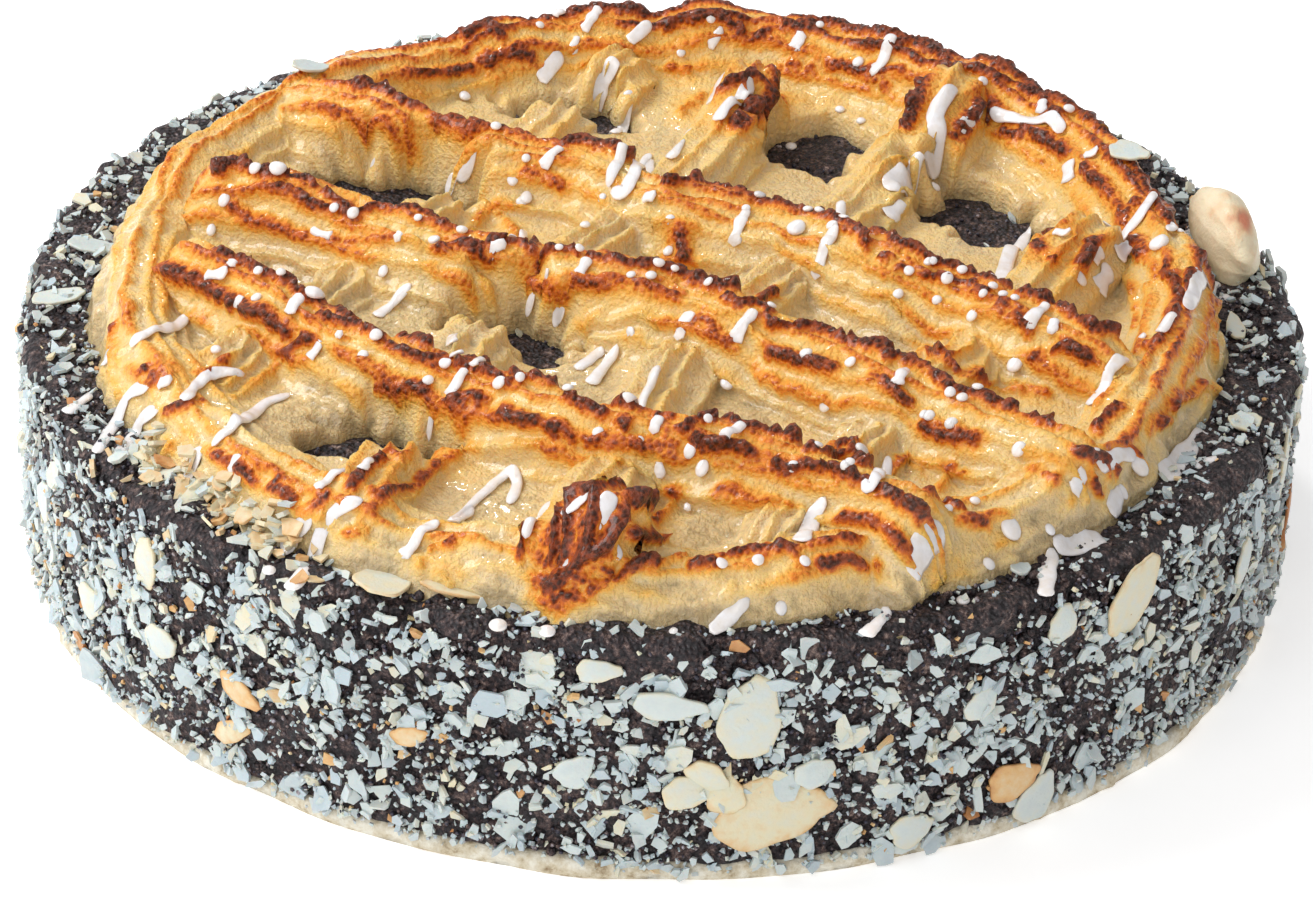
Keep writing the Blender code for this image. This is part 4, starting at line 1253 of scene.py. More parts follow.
# %% Where the icing fell
# Each stroke: its width in millimetres and its pixels in the photo.
ICING_STROKES = """
2.4 478,142 466,165 454,185 | 1.8 524,197 520,208 | 1.6 310,231 332,237 | 1.6 402,233 395,244
1.8 525,231 513,234 | 1.8 506,244 490,253 | 1.9 411,284 395,302 376,317 | 1.7 234,260 230,267
1.9 228,272 204,277 | 1.8 235,298 242,303 | 2.0 301,293 289,315 | 1.6 334,336 343,335
2.0 322,343 304,369 | 1.7 452,336 452,343 | 1.9 464,348 450,355 | 1.8 483,359 473,366
2.2 466,369 447,397 | 1.8 549,272 544,282 | 2.2 651,160 632,178 610,194 | 2.2 747,208 734,247
1.8 641,200 656,196 | 1.8 840,202 845,218 | 2.3 835,225 825,247 814,281 | 2.0 589,259 578,276
2.2 690,312 677,341 | 2.2 755,310 733,344 | 1.8 633,327 627,338 | 2.1 602,346 590,360 576,370
2.1 617,346 590,385 | 2.1 658,366 627,404 | 2.2 1047,304 1026,330 | 1.8 1054,319 1052,335
2.2 1111,268 1098,291 | 2.5 1029,228 1012,248 993,271 | 1.8 1070,231 1052,233 | 2.2 1134,235 1118,258
1.8 1103,251 1093,261 | 2.2 1213,284 1187,309 | 2.0 1174,314 1159,332 | 1.7 1146,335 1136,342
2.0 1128,360 1111,370 1103,391 1088,406 | 1.9 906,368 896,386 | 1.9 889,457 876,478 861,483
2.3 1134,450 1095,462 | 1.9 1085,472 1072,493 | 3.2 1205,432 1183,458 1164,480 | 2.2 1228,457 1192,467
2.2 187,315 162,330 132,347 | 1.9 112,345 105,365 | 2.2 150,387 122,407 95,454 | 1.8 172,380 157,387
2.2 160,409 137,432 112,464 | 2.1 244,375 207,377 184,402 | 2.2 289,394 262,407 234,424 212,447
2.1 199,447 192,469 177,492 | 1.8 239,454 230,474 | 2.0 94,394 65,414 | 3.0 314,511 298,528 281,549
2.0 344,469 316,489 | 1.7 371,459 361,469 | 2.4 364,501 321,536 289,591 | 2.2 438,521 401,559
1.9 471,506 451,521 | 1.6 433,419 426,434 | 2.0 450,520 480,497 505,475 517,485 510,505
1.8 564,11 554,17 | 2.1 599,7 591,20 582,32 | 1.6 577,37 573,55 | 2.4 562,55 540,82 | 2.1 651,22 629,42
2.7 617,60 604,85 594,112 | 1.8 723,30 709,50 | 2.3 803,32 793,52 | 2.1 723,75 711,102
2.3 636,99 625,115 614,134 | 2.1 753,82 735,100 716,122 | 2.4 691,129 671,159 | 2.0 562,147 542,169
2.2 649,154 609,187 | 2.2 893,35 881,63 869,72 | 3.6 956,87 936,112 935,142 912,170 890,191
2.6 905,204 887,216 | 2.1 982,106 961,133 | 2.4 991,109 1025,121 1049,118 1062,133 | 1.8 1043,100 1040,115
2.4 1068,161 1068,182 | 2.2 1098,149 1083,155 | 2.3 1156,194 1138,219 1104,222 | 2.0 1193,224 1169,231
1.8 663,465 657,479 | 2.0 588,491 560,514 | 3.2 615,495 600,520 588,538 562,574 | 1.9 548,503 525,540
1.8 661,416 653,435 | 2.0 744,423 722,445 | 2.6 825,499 812,522 801,542 | 2.8 943,530 916,554 908,574
2.0 1121,491 1110,514 | 2.2 744,593 742,605 710,633 | 2.2 888,609 864,637 | 2.8 1054,550 1048,572 1046,597
3.2 1054,545 1080,548 1105,540 | 1.6 683,510 690,506
"""
SMALL_DROPS = """
374,169 255,168 224,201 211,231 334,208 353,213 418,218 434,240 462,230 450,186 383,272 281,272 258,271
256,298 216,350 363,355 376,336 445,364 428,381 499,383 520,377 530,305 558,315 282,397 602,198 585,225
670,220 760,194 820,206 808,209 898,295 580,248 559,248 560,316 651,276 631,275 668,252 675,269 659,263
708,282 772,305 806,353 850,363 826,404 568,385 832,225 928,263 962,270 909,272 947,279 937,300 972,316
983,294 993,286 1003,294 1015,298 1081,279 1182,230 1225,299 950,393 962,398 978,383 929,416 950,424
863,449 850,462 1123,493 1177,471 269,571 540,25 711,17 681,53 465,97 496,126 526,159 513,179 526,199
791,147 761,191 746,209 820,25 858,63 983,81 936,187 1069,109 1117,149 840,110 861,121 797,230 841,210
933,262 1215,286 617,554 598,433 639,443 690,451 708,419 793,467 819,443 845,465 862,449 758,560 805,562
722,564 702,469 975,501 947,510 989,564 1050,530 781,609 675,633 963,601 924,415 951,423
"""
LARGE_DROPS = "278,168 315,289 796,229 728,383 1015,365 1159,243 1019,449 1139,467 1011,530 498,626 547,632"
ICING_THICKNESS = 0.55 * MM
ICING_WIDER = 1.2
ICING_STEP = 0.45 * MM
ICING_COLUMNS = 14
STROKE_CLEARANCE, DROP_CLEARANCE = 1.5 * MM, 1.0 * MM
# Icing lies on the highest places close by, or a little over the mean height where the paste is hollow.
bridged = np.maximum(blurred(highest_near(top_map.heights, 2), 1), blurred(top_map.heights, 4) + 0.25 * MM)
icing_ground = TopMap(np.maximum(bridged, CAKE_TOP + 0.3 * MM))
print("icing lies up to", round(1000 * icing_ground.heights.max(), 1), "mm high")


def closed_tubes(grids, name, finish, node, slot, **values):
    """One piece from many tubes of points, each a grid of stations by points round it: the sides are
    quads and the two ends are closed."""
    sets, base = [], 0
    ends = []
    for grid in grids:
        rows, columns = grid.shape[:2]
        sets.append(base + ring_faces(rows, columns))
        ends.append(base + np.arange(columns)[None, ::-1])
        ends.append(base + (rows - 1) * columns + np.arange(columns)[None, :])
        base += rows * columns
    points = np.vstack([grid.reshape(-1, 3) for grid in grids])
    return new_piece(name, points, [np.vstack(sets), np.vstack(ends)], finish, node, slot, **values)


def icing_ribbon(route, width, seed):
    """A ribbon on the top: at an angle t round it, it lies half a width * cos(t) beside the route and
    thickness * sin(t) over the ground. Its width swells at the thrown end and swings along the way."""
    count = len(route)
    share = np.linspace(0.0, 1.0, count)
    round_end = np.sqrt(np.clip(1.0 - (2.0 * np.abs(share - 0.5)) ** 8, 0.0, 1.0))
    swing = 0.95 + 0.22 * line_noise(share * 30.0 * MM, 7.0 * MM, seed) + 0.4 * smoothstep(0.75, 1.0, share)
    half = 0.5 * ICING_WIDER * width * MM * np.maximum(round_end, 0.08) * swing
    heading = np.gradient(route, axis=0)
    heading /= np.linalg.norm(heading, axis=1)[:, None]
    sideways = np.stack([-heading[:, 1], heading[:, 0]], axis=1)
    t = np.linspace(0.0, 2.0 * np.pi, ICING_COLUMNS, endpoint=False)[None, :]
    flat = route[:, None, :] + sideways[:, None, :] * (half[:, None] * np.cos(t))[..., None]
    ground = icing_ground.at(flat[..., 0], flat[..., 1])
    middle = icing_ground.at(route[:, 0], route[:, 1])[:, None]
    ground = 0.65 * ground + 0.35 * middle
    thick = ICING_THICKNESS * np.maximum(round_end, 0.1)[:, None] * np.where(np.sin(t) > 0, 1.0, 0.8)
    return np.concatenate([flat, (ground + 0.12 * MM + thick * np.sin(t))[..., None]], axis=-1)


def stroke_ribbon(text, number):
    """A ribbon from its line of text; its route wavers by 0.15 mm."""
    width, *pairs = text.split()
    seen = icing_ground.seen(pixels(" ".join(pairs)), STROKE_CLEARANCE)
    route = smooth_route(seen[:, :2], ICING_STEP)
    along = np.arange(len(route)) * ICING_STEP
    waver = np.stack([line_noise(along, 3.0 * MM, number + seed) for seed in (900, 950)], axis=1)
    return icing_ribbon(route + 0.15 * MM * waver, float(width), 400 + number)


stroke_texts = [text for line in ICING_STROKES.strip().splitlines() for text in line.split(" | ")]
ribbons = [stroke_ribbon(text, number) for number, text in enumerate(stroke_texts)]
icing = Recipe(
    "icing_sugar", Roughness=0.30, Coat_Weight=0.5, Coat_Roughness=0.06,
    Subsurface_Weight=0.4, Subsurface_Scale=0.003, Subsurface_Radius=(1.0, 0.9, 0.8),
)
icing_colour = icing.ramp(icing.noise(380.0), (
    (0.25, srgb(226, 216, 206)),
    (0.6, srgb(238, 234, 234)),
    (0.8, srgb(246, 244, 247)),
))
icing_skin = icing.shared(fine_grain, Scale=900.0, Detail=2.0, Distance=0.0003, Strength=0.4)
icing_sugar = icing.into(Base_Color=icing_colour, Normal=icing_skin)
closed_tubes(ribbons, "icing_strokes", icing_sugar, "piped_lattice", "icing")
print(len(ribbons), "strokes")

# %% [markdown]
# ## Drops of icing
# Between the strokes lie small drops that ran into domes. They could be flattened balls, but the top is
# rough, so each point of a drop takes half of its height from the ground right under it.

# %% Drops
DROP_ROWS, DROP_COLUMNS = 7, 16


def icing_drop(place, radius):
    """A drop: a dome at radius * sin(p) out and its height * cos(p) up over the ground, closed below."""
    p = np.linspace(0.04, 0.68 * np.pi, DROP_ROWS)[:, None]
    t = np.linspace(0.0, 2.0 * np.pi, DROP_COLUMNS, endpoint=False)[None, :]
    x = place[0] + radius * np.sin(p) * np.cos(t)
    y = place[1] + radius * np.sin(p) * np.sin(t)
    ground = 0.5 * icing_ground.at(x, y) + 0.5 * icing_ground.at(place[0], place[1])
    return np.stack([x, y, ground + 0.1 * MM + 0.55 * radius * np.cos(p)], axis=-1)


drops = []
for text, radius in ((SMALL_DROPS, 1.1), (LARGE_DROPS, 1.75)):
    places = icing_ground.seen(pixels(text), DROP_CLEARANCE)
    sizes = radius * MM * np.random.default_rng(7).uniform(0.8, 1.2, len(places))
    drops += [icing_drop(place, size) for place, size in zip(places, sizes)]
closed_tubes(drops, "icing_drops", icing_sugar, "piped_lattice", "icing")
print(len(drops), "drops")

# %% [markdown]
# ## Almonds and poppy seed
# The side is covered with sliced almonds that broke when they were pressed on: a few whole slices, many
# chips, and fine crumbs. Particles could scatter them, but they would be lost when the model is exported,
# so the pieces of one kind are worked out together as one array and make one mesh.

# %% Places and directions for small pieces
dice = np.random.default_rng(2024)
LOWEST_FLAKE = 0.2 * MM
UP = np.array([0.0, 0.0, 1.0])


def unit(vectors):
    """Vectors brought to length one."""
    return vectors / np.maximum(np.linalg.norm(vectors, axis=-1, keepdims=True), 1e-12)


def frames(normals, spin):
    """For each normal, two directions across it, turned by the spin."""
    helper = np.where(np.abs(normals[:, 2:3]) < 0.9, [[0.0, 0.0, 1.0]], [[1.0, 0.0, 0.0]])
    first = unit(np.cross(helper, normals))
    second = np.cross(normals, first)
    c, s = np.cos(spin)[:, None], np.sin(spin)[:, None]
    return c * first + s * second, c * second - s * first


def side_places(count, low, high, angles=None, heights=None):
    """Places on the cake's side and the outward directions there."""
    angle = dice.uniform(0.0, 2.0 * np.pi, count) if angles is None else angles
    height = dice.uniform(low, high, count) if heights is None else heights
    outward = np.stack([np.cos(angle), np.sin(angle), np.zeros_like(angle)], axis=1)
    reach = side_radius(angle) - RIM_ROUNDING * smoothstep(CAKE_TOP - RIM_ROUNDING, CAKE_TOP, height)
    return outward * reach[:, None] + height[:, None] * UP, outward


def top_places(count, low, high):
    """Places on the cake's top between two radii, where no paste lies."""
    angle = dice.uniform(0.0, 2.0 * np.pi, count)
    radius = np.sqrt(dice.uniform(low**2, high**2, count))
    x, y = radius * np.cos(angle), radius * np.sin(angle)
    bare = top_map.at(x, y) < CAKE_TOP + 0.4 * MM
    places = np.stack([x, y, np.full_like(x, CAKE_TOP)], axis=1)[bare]
    return places, np.tile(UP, (len(places), 1))


sample_places, _ = side_places(3, 0, 0, np.radians([-90.0, 0.0, 90.0]), np.full(3, 0.5 * CAKE_TOP))
print("places on the side:", np.round(1000 * sample_places, 1).tolist(), "mm")


# %% Flat pieces
# How far a corner strays, as a share of the angle to the next one, and how much smaller the lower side is.
CORNER_JITTER = 0.42
LOWER_SHARE = 0.94


def flat_flakes(places, normals, long, wide, thick, corners, ragged, tilt, lift):
    """Flat, slightly curled pieces. Corner k of a piece lies near the angle 2 pi k / corners, at a random
    distance; the upper and lower outline are a thickness apart, and a middle point closes each."""
    count = len(places)
    normal = unit(normals + tilt * dice.normal(size=(count, 3)))
    first, second = frames(normal, dice.uniform(0.0, 2.0 * np.pi, count))
    turn = np.linspace(0.0, 2.0 * np.pi, corners, endpoint=False)[None, :] + dice.uniform(0, 6.28, (count, 1))
    turn = turn + CORNER_JITTER * dice.uniform(-1.0, 1.0, (count, corners)) * 2.0 * np.pi / corners
    out = 1.0 - ragged * dice.uniform(0.0, 1.0, (count, corners))
    u, v = 0.5 * long[:, None] * out * np.cos(turn), 0.5 * wide[:, None] * out * np.sin(turn)
    curl = dice.uniform(-0.06, 0.06, (count, 1)) * u / MM * u
    curl = curl + dice.uniform(-0.04, 0.04, (count, 1)) * v / MM * v
    flat = first[:, None, :] * u[..., None] + second[:, None, :] * v[..., None]
    flat = flat + normal[:, None, :] * curl[..., None]
    half = 0.5 * thick[:, None, None] * normal[:, None, :]
    centre = (places + normals * lift[:, None])[:, None, :]
    layers = [centre + flat + half, centre + LOWER_SHARE * flat - half, centre + half, centre - half]
    points = np.concatenate(layers, axis=1)
    points[..., 2] = np.maximum(points[..., 2], LOWEST_FLAKE)
    k = np.arange(corners)
    k2 = (k + 1) % corners
    top = np.stack([np.full(corners, 2 * corners), k, k2], axis=1)
    bottom = np.stack([np.full(corners, 2 * corners + 1), corners + k2, corners + k], axis=1)
    rim = np.stack([k, corners + k, corners + k2, k2], axis=1)
    size = 2 * corners + 2
    start = (size * np.arange(count))[:, None, None]
    triangles = (start + np.vstack([top, bottom])[None]).reshape(-1, 3)
    quads = (start + rim[None]).reshape(-1, 4)
    return points.reshape(-1, 3), [triangles, quads], size


# %% Almond finish
almond = Recipe("almond_blanched", Roughness=0.5, Subsurface_Weight=0.1, Subsurface_Scale=0.002)
almond_tone = almond.shared(clouded_tone, Tone=almond.value_of("tint"), Scale=420.0, Detail=3.0)
almond_colour = almond.ramp(almond_tone, (
    (0.0, srgb(172, 186, 192)),
    (0.35, srgb(196, 204, 200)),
    (0.6, srgb(212, 202, 170)),
    (0.8, srgb(210, 168, 112)),
    (1.0, srgb(176, 116, 66)),
))
almond_skin = almond.shared(fine_grain, Scale=1400.0, Distance=0.0003)
almond_blanched = almond.into(Base_Color=almond_colour, Normal=almond_skin)
print("finish", almond_blanched.name)

# %% Tints
TINT_SPREAD = 0.16
PALE_TINTS, TOASTED_TINTS = (0.0, 0.72), (0.7, 1.0)


def tints(count, mean, spread, toasted_share):
    """One tint for each piece: pale ones round the mean, and a share that is toasted."""
    tint = np.clip(dice.normal(mean, spread, count), *PALE_TINTS)
    return np.where(dice.uniform(size=count) < toasted_share, dice.uniform(*TOASTED_TINTS, count), tint)


def scatter_flakes(name, groups, mean_tint, toasted_share):
    """Joins groups of flat pieces into one mesh; each piece has one tint."""
    points, sets, shades, base = [], [], [], 0
    for group_points, group_sets, size in groups:
        points.append(group_points)
        sets.append([base + faces for faces in group_sets])
        own_tints = tints(len(group_points) // size, mean_tint, TINT_SPREAD, toasted_share)
        shades.append(np.repeat(own_tints, size))
        base += len(group_points)
    joined = [np.vstack([part[k] for part in sets]) for k in (0, 1)]
    tint = np.concatenate(shades)
    return new_piece(
        name, np.vstack(points), joined, almond_blanched, "poppy_cake", "almond_flakes", smooth=False, tint=tint
    )


# %% [markdown]
# ## Chips and crumbs of almond
# Most of the almond on the side is broken into angular chips and fine crumbs. They thin out at the right
# and under the rim at the front, where the dark crumb is bare. Even scattering would look like a print, so
# places are left out in clumps.


# %% Chips, slivers and crumbs of almond
def chips_on(places, normals, low, high, corners, ragged, tilt):
    """Chips of random length between low and high millimetres on the given places."""
    count = len(places)
    long = (low + (high - low) * dice.beta(1.3, 2.6, count)) * MM
    wide = long * dice.uniform(0.35, 0.9, count)
    thick = dice.uniform(0.45, 0.9, count) * MM
    lift = dice.uniform(0.2, 1.4, count) * MM
    return flat_flakes(places, normals, long, wide, thick, corners, ragged, tilt, lift)


def thin_out(places, normals):
    """Leaves out pieces in clumps, more of them at the right, and most of them in the band under the rim
    at the front, where the dark crumb is bare."""
    angle = np.degrees(np.arctan2(places[:, 1], places[:, 0]))
    waves = 2.0 * np.sin(np.radians(3.0 * angle)) + 1.5 * np.sin(np.radians(11.0 * angle))
    band = CAKE_TOP - MM * (4.0 + waves)
    bare = smoothstep(-2.5 * MM, 1.0 * MM, places[:, 2] - band) * (0.1 + 0.65 * near(angle, -68.0, 44.0))
    clump = soft_noise(places, 9.0 * MM, 300)
    right_side = 0.32 * near(angle, -5.0, 60.0)
    kept = dice.uniform(size=len(places)) > np.maximum(bare, 0.08 + right_side - 0.6 * clump)
    return places[kept], normals[kept]


# The foot of the paste at the left front: two pixels of the photo, and how far flakes stray from the line.
EDGE_FROM, EDGE_TO, EDGE_STRAY = np.array((135.0, 448.0)), np.array((305.0, 560.0)), (12.0, 15.0)


def edge_places(count):
    """Places along the foot of the paste at the left front, by the pixels of the photo that show them."""
    share = dice.uniform(0.0, 1.0, count)
    spots = EDGE_FROM + (EDGE_TO - EDGE_FROM) * share[:, None] + dice.normal(size=(count, 2)) * EDGE_STRAY
    return icing_ground.seen(spots), np.tile(UP, (count, 1))


side_low, side_high = 2.0 * MM, CAKE_TOP - 0.5 * MM
chip_groups = [
    chips_on(*thin_out(*side_places(5600, side_low, side_high)), 2.0, 7.5, 5, 0.38, 0.38),
    chips_on(*thin_out(*side_places(500, side_low, side_high)), 6.0, 11.5, 7, 0.34, 0.18),
    chips_on(*thin_out(*top_places(2300, 104.0 * MM, 126.0 * MM)), 1.8, 7.0, 5, 0.38, 0.35),
    chips_on(*top_places(50, 20.0 * MM, 90.0 * MM), 1.8, 4.0, 6, 0.34, 0.35),
]
scatter_flakes("almond_chips", chip_groups, 0.24, 0.02)
scatter_flakes("almond_slivers", [chips_on(*edge_places(110), 3.5, 9.5, 5, 0.38, 0.35)], 0.6, 0.05)
crumb_groups = [
    chips_on(*thin_out(*side_places(13500, side_low, side_high)), 0.6, 2.3, 4, 0.3, 0.8),
    chips_on(*top_places(2600, 100.0 * MM, 126.5 * MM), 0.6, 2.0, 4, 0.3, 0.8),
]
scatter_flakes("almond_crumbs", crumb_groups, 0.2, 0.03)

# %% [markdown]
# ## Whole slices of almond
# A few slices stayed whole. They are the first thing seen on the side, so those that the photo shows are
# placed one by one, and a few more go round the back. A flat disc would look like a coin: a slice is an
# oval with a narrow end, a broken edge and a slight bend.

# %% Whole slices of almond
# Notable slices: angle in degrees, height, length and width in millimetres, lean in degrees, and tint.
WHOLE_SLICES = (
    (-81.6, 36.9, 18.0, 11.5, 85, 0.40), (-79.3, 15.5, 23.0, 14.0, 5, 0.58),
    (-45.7, 43.9, 18.0, 12.0, 60, 0.50), (-57.9, 12.9, 11.5, 7.5, 10, 0.74),
    (-55.4, 7.0, 12.0, 9.0, 70, 0.30), (-93.9, 46.2, 9.0, 4.5, 5, 0.36),
    (-88.1, 39.3, 14.0, 6.0, -5, 0.30), (-86.3, 21.0, 10.0, 7.0, 20, 0.45),
    (-83.3, 20.0, 8.0, 7.5, 70, 0.55), (-84.8, 24.0, 9.5, 6.0, -30, 0.5),
    (-126.0, 22.6, 11.0, 5.0, -20, 0.72), (-126.9, 12.7, 9.5, 4.5, 30, 0.66),
    (-137.1, 40.1, 13.0, 7.0, 75, 0.45), (-135.3, 24.2, 10.0, 7.0, 20, 0.35),
    (-146.3, 20.2, 9.0, 7.0, 20, 0.4), (-158.3, 27.8, 12.0, 7.0, 60, 0.30),
    (-95.6, 23.9, 9.0, 6.0, 50, 0.25), (-76.0, 23.7, 8.0, 6.0, 10, 0.28),
    (-67.3, 7.5, 9.0, 6.5, 20, 0.35), (-54.1, 45.0, 8.0, 6.0, 70, 0.35),
    (-27.9, 32.3, 10.0, 6.0, 80, 0.35), (-109.6, 25.6, 8.0, 4.0, 20, 0.72),
    (-61.6, 32.6, 8.0, 5.5, 40, 0.3),
)
# Slices that lie on the top: pixel, length, width, turn in degrees and tint.
TOP_SLICES = (
    (386, 583, 10.5, 8.0, 60, 0.50), (250, 512, 8.0, 3.0, 70, 0.62), (221, 485, 7.0, 2.5, 85, 0.6),
    (455, 595, 11.0, 2.2, -10, 0.6), (60, 300, 9.0, 5.0, 20, 0.3), (95, 250, 9.0, 5.0, 0, 0.2),
    (1245, 425, 6.0, 4.5, 30, 0.4), (1235, 330, 7.0, 3.0, 100, 0.4), (1020, 573, 4.0, 3.0, 60, 0.2),
    (310, 70, 7.0, 5.0, 20, 0.3), (1130, 155, 8.0, 5.0, -40, 0.35),
)
TOP_SLICE_SIZE = 1.2
SLICE_RINGS, SLICE_COLUMNS = 5, 40
SLICE_HALF_THICK = 0.45 * MM
EDGE_DARKER = 0.16
# How far a slice on the side stands off: the notable ones, and those at the back.
SLICE_OUT, BACK_SLICE_OUT = 1.7 * MM, 1.3 * MM
slice_share = np.sin(np.linspace(0.06, 0.5 * np.pi, SLICE_RINGS))
print(len(WHOLE_SLICES), "notable slices on the side,", len(TOP_SLICES), "on the top")


# %% The form of a slice
def almond_slice(place, normal, along_way, long, wide, bend):
    """A slice of almond: the outline is an oval, narrowed towards its point by 1 + 0.28 cos(t); its
    faces are 0.9 mm apart, thinner to the edge, and it is bent across its length."""
    beside_way = np.cross(normal, along_way)
    t = np.linspace(0.0, 2.0 * np.pi, SLICE_COLUMNS, endpoint=False)[None, :]
    share = slice_share[:, None]
    broken = np.maximum(np.cos(2.0 * t + 23.0 * long / MM), 0.0) ** 3 * (0.7 + 0.3 * np.sin(9.0 * t))
    rough = 1.0 + 0.05 * np.sin(3 * t + 40 * long / MM)
    rough = rough + 0.04 * np.sin(7 * t + 11 * wide / MM) - 0.11 * broken
    u = 0.5 * long * share * np.cos(t) * rough
    v = 0.5 * wide * share * np.sin(t) * (1.0 - 0.28 * np.cos(t)) * rough
    rise = bend * (u / (0.5 * long)) ** 2 + 0.4 * bend * (v / (0.5 * wide)) ** 2
    half = SLICE_HALF_THICK * np.sqrt(np.clip(1.0 - 0.6 * share**2, 0.0, 1.0))
    flat = place + u[..., None] * along_way + v[..., None] * beside_way
    upper, lower = flat + (rise + half)[..., None] * normal, flat + (rise - half)[..., None] * normal
    points = np.concatenate([upper, lower[::-1]], axis=0)
    points[..., 2] = np.maximum(points[..., 2], LOWEST_FLAKE)
    return points


def slice_on_side(angle, height, long, wide, lean, out):
    """A slice that lies against the cake's side."""
    (place,), (outward,) = side_places(1, 0, 0, np.radians([angle]), np.array([height * MM]))
    round_way = np.array([-outward[1], outward[0], 0.0])
    lean = np.radians(lean)
    normal = unit(outward + 0.10 * UP * np.sin(7.0 * height) + 0.08 * round_way * np.cos(9.0 * height))
    way = unit(np.cross(np.cos(lean) * UP - np.sin(lean) * round_way, normal))
    return almond_slice(place + outward * out, normal, way, long * MM, wide * MM, -0.5 * MM)


def slice_on_top(px, py, long, wide, turned):
    """A slice that lies on the top where the photo shows it."""
    place = icing_ground.seen(np.array([[px, py]]))[0]
    normal = unit(np.array([0.18 * np.sin(px), 0.18 * np.cos(py), 1.0]))
    turned = np.radians(turned)
    way = unit(np.cross(np.array([-np.sin(turned), np.cos(turned), 0.0]), normal))
    long, wide = TOP_SLICE_SIZE * long * MM, TOP_SLICE_SIZE * wide * MM
    return almond_slice(place + normal * 0.7 * MM, normal, way, long, wide, 0.4 * MM)


# %% All slices as one piece
slices, slice_tints = [], []
for *shape, tint in WHOLE_SLICES:
    slices.append(slice_on_side(*shape, SLICE_OUT))
    slice_tints.append(tint)
for angle in np.arange(-15.0, 185.0, 8.5):
    angle = angle + dice.uniform(-3, 3)
    height, long, wide, lean = (dice.uniform(low, high) for low, high in ((11, 42), (9, 17), (6, 11), (0, 180)))
    slices.append(slice_on_side(angle, height, long, wide, lean, BACK_SLICE_OUT))
    slice_tints.append(tints(1, 0.35, 0.12, 0.12)[0])
for *shape, tint in TOP_SLICES:
    slices.append(slice_on_top(*shape))
    slice_tints.append(tint)

edge_tint = EDGE_DARKER * slice_share**6
edge_tint = np.repeat(np.concatenate([edge_tint, edge_tint[::-1]]), SLICE_COLUMNS)
slice_shade = np.repeat(slice_tints, edge_tint.size) + np.tile(edge_tint, len(slices))
closed_tubes(slices, "almond_slices", almond_blanched, "poppy_cake", "almond_flakes", tint=slice_shade)

# %% [markdown]
# ## Poppy seeds
# Poppy seeds are kidney-shaped and about a millimetre long, blue-grey to black. Seen from here each is only
# a glint, so a squeezed twenty-sided ball is enough, and thousands of them stay light.

# %% Poppy seed finish
seed = Recipe("poppy_seed_dry", Roughness=0.38)
seed_colour = seed.ramp(seed.noise(700.0, 2.0), (
    (0.3, srgb(16, 14, 22)),
    (0.5, srgb(52, 50, 66)),
    (0.6, srgb(110, 92, 86)),
    (0.7, srgb(176, 172, 182)),
))
seed_skin = seed.bump(seed.grains(3000.0), 0.0002, 0.5)
poppy_seed_dry = seed.into(Base_Color=seed_colour, Normal=seed_skin)
print("finish", poppy_seed_dry.name)


# %% Grains on many places
def grains_of(places, radius):
    """Small round grains: the twelve corners of an icosahedron round each place, a little squeezed."""
    g = 0.5 * (1.0 + np.sqrt(5.0))
    corners = np.array([(0, s, t * g) for s in (-1, 1) for t in (-1, 1)], float)
    corners = np.vstack([np.roll(corners, k, axis=1) for k in range(3)]) / np.hypot(1.0, g)
    near_ones = np.linalg.norm(corners[:, None] - corners[None], axis=-1) < 1.1
    i, j, k = (a.ravel() for a in np.meshgrid(*[np.arange(12)] * 3, indexing="ij"))
    joined = (i < j) & (j < k) & near_ones[i, j] & near_ones[j, k] & near_ones[i, k]
    faces = np.stack([i, j, k], axis=1)[joined]
    middle = corners[faces].mean(axis=1)
    a, b, c = (corners[faces[:, k]] for k in range(3))
    facing = np.einsum("ij,ij->i", np.cross(b - a, c - a), middle)
    faces = np.where((facing > 0)[:, None], faces, faces[:, ::-1])
    squeeze = dice.uniform(0.75, 1.15, (len(places), 1, 3))
    points = places[:, None, :] + corners[None] * radius[:, None, None] * squeeze
    return points.reshape(-1, 3), (12 * np.arange(len(places))[:, None, None] + faces[None]).reshape(-1, 3)


def scattered_grains(spots, deep, high, smallest, largest):
    """Grains on all the spots, between these distances off the surface and radii, in millimetres."""
    off = [places + normals * dice.uniform(deep, high, (len(places), 1)) * MM for places, normals in spots]
    places = np.vstack(off)
    return grains_of(places, dice.uniform(smallest, largest, len(places)) * MM)


seed_spots = [
    side_places(6200, CAKE_BOTTOM, CAKE_TOP),
    top_places(3200, 95.0 * MM, 125.5 * MM),
    top_places(1500, 5.0 * MM, 95.0 * MM),
]
seed_points, seed_faces = scattered_grains(seed_spots, 0.1, 0.9, 0.35, 0.6)
new_piece("poppy_seeds", seed_points, [seed_faces], poppy_seed_dry, "poppy_cake", "poppy_crumb")

# %% [markdown]
# ## Loose crumbs of cake
# Torn bits of the dark cake lie on the rim and cling to the upper side. They could be part of the relief,
# but loose bits cast small shadows. They are the same grains as the seeds, larger and with flat faces.

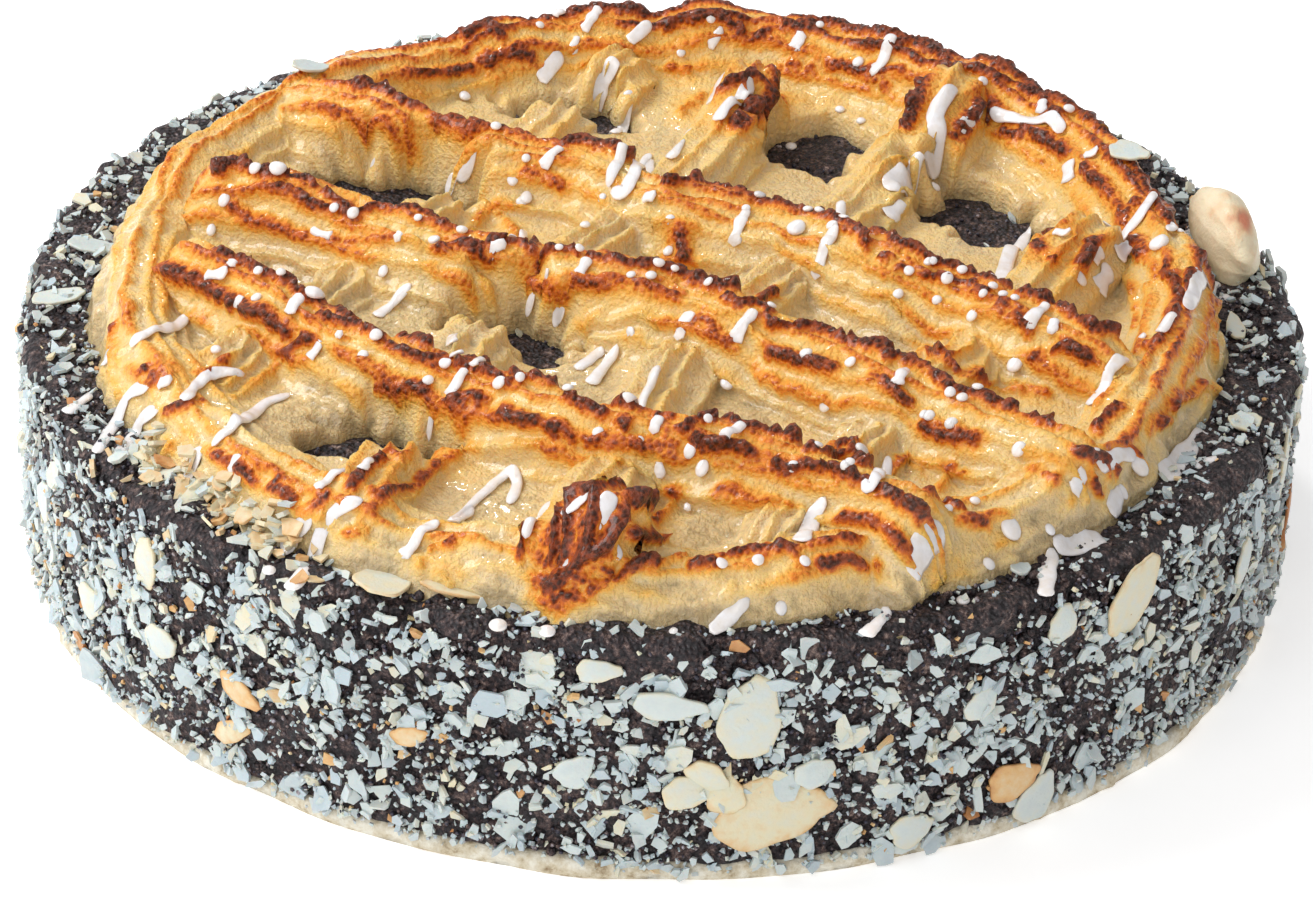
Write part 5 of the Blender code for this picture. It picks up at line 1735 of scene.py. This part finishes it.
# %% Loose crumbs of cake
bits = [
    top_places(2400, 98.0 * MM, 125.0 * MM),
    side_places(1500, CAKE_TOP - 12.0 * MM, CAKE_TOP),
    side_places(900, CAKE_BOTTOM, CAKE_TOP),
]
bit_points, bit_faces = scattered_grains(bits, -0.2, 0.5, 0.5, 1.3)
new_piece(
    "cake_crumbs", bit_points, [bit_faces], poppy_crumb_moist, "poppy_cake", "poppy_crumb", smooth=False
)

# %% [markdown]
# ## Stage and light
# The light in the photo is soft and cool, on pure white. The floor is pale and glows a little, so that it
# stays white beside the cake. A large lamp stands high at the left and a wide, weaker one in front. A small
# one behind the cake puts the sharp glints on its glaze.

# %% Floor, lamps and sky
floor_mesh = bpy.data.meshes.new("floor")
floor_mesh.from_pydata([(-4, -4, 0), (4, -4, 0), (4, 4, 0), (-4, 4, 0)], [], [(0, 1, 2, 3)])
floor = bpy.data.objects.new("floor", floor_mesh)
bpy.context.scene.collection.objects.link(floor)
plain_floor = Recipe(
    "plain_floor", Base_Color=(0.93, 0.93, 0.935, 1.0), Roughness=0.9,
    Emission_Color=(1.0, 1.0, 1.0, 1.0), Emission_Strength=0.40,
)
floor_mesh.materials.append(plain_floor.material)


LAMPS_AIM = Vector((0, 0, 0.04))


def lamp(name, place, size, power, colour):
    """A square soft lamp that faces the cake."""
    data = bpy.data.lights.new(name, "AREA")
    data.shape, data.size, data.energy, data.color = "SQUARE", size, power, colour
    made = bpy.data.objects.new(name, data)
    bpy.context.scene.collection.objects.link(made)
    aim = LAMPS_AIM - Vector(place)
    made.matrix_world = Matrix.Translation(place) @ aim.to_track_quat("-Z", "Y").to_matrix().to_4x4()


lamp("key", (-0.95, 0.15, 0.95), 0.7, 13.0, (0.96, 0.98, 1.0))
lamp("front", (-0.5, -1.15, 0.9), 1.2, 9.0, (1.0, 0.99, 0.97))
lamp("glint", (-0.35, 0.75, 1.15), 0.14, 3.5, (1.0, 1.0, 1.0))
world = bpy.data.worlds.new("soft_sky")
world.use_nodes = True
sky = world.node_tree.nodes["Background"]
sky.inputs["Color"].default_value = (0.98, 0.96, 0.96, 1.0)
sky.inputs["Strength"].default_value = 0.5
bpy.context.scene.world = world
bpy.context.scene.view_settings.view_transform = "Standard"
print(len(bpy.data.lights), "lamps")
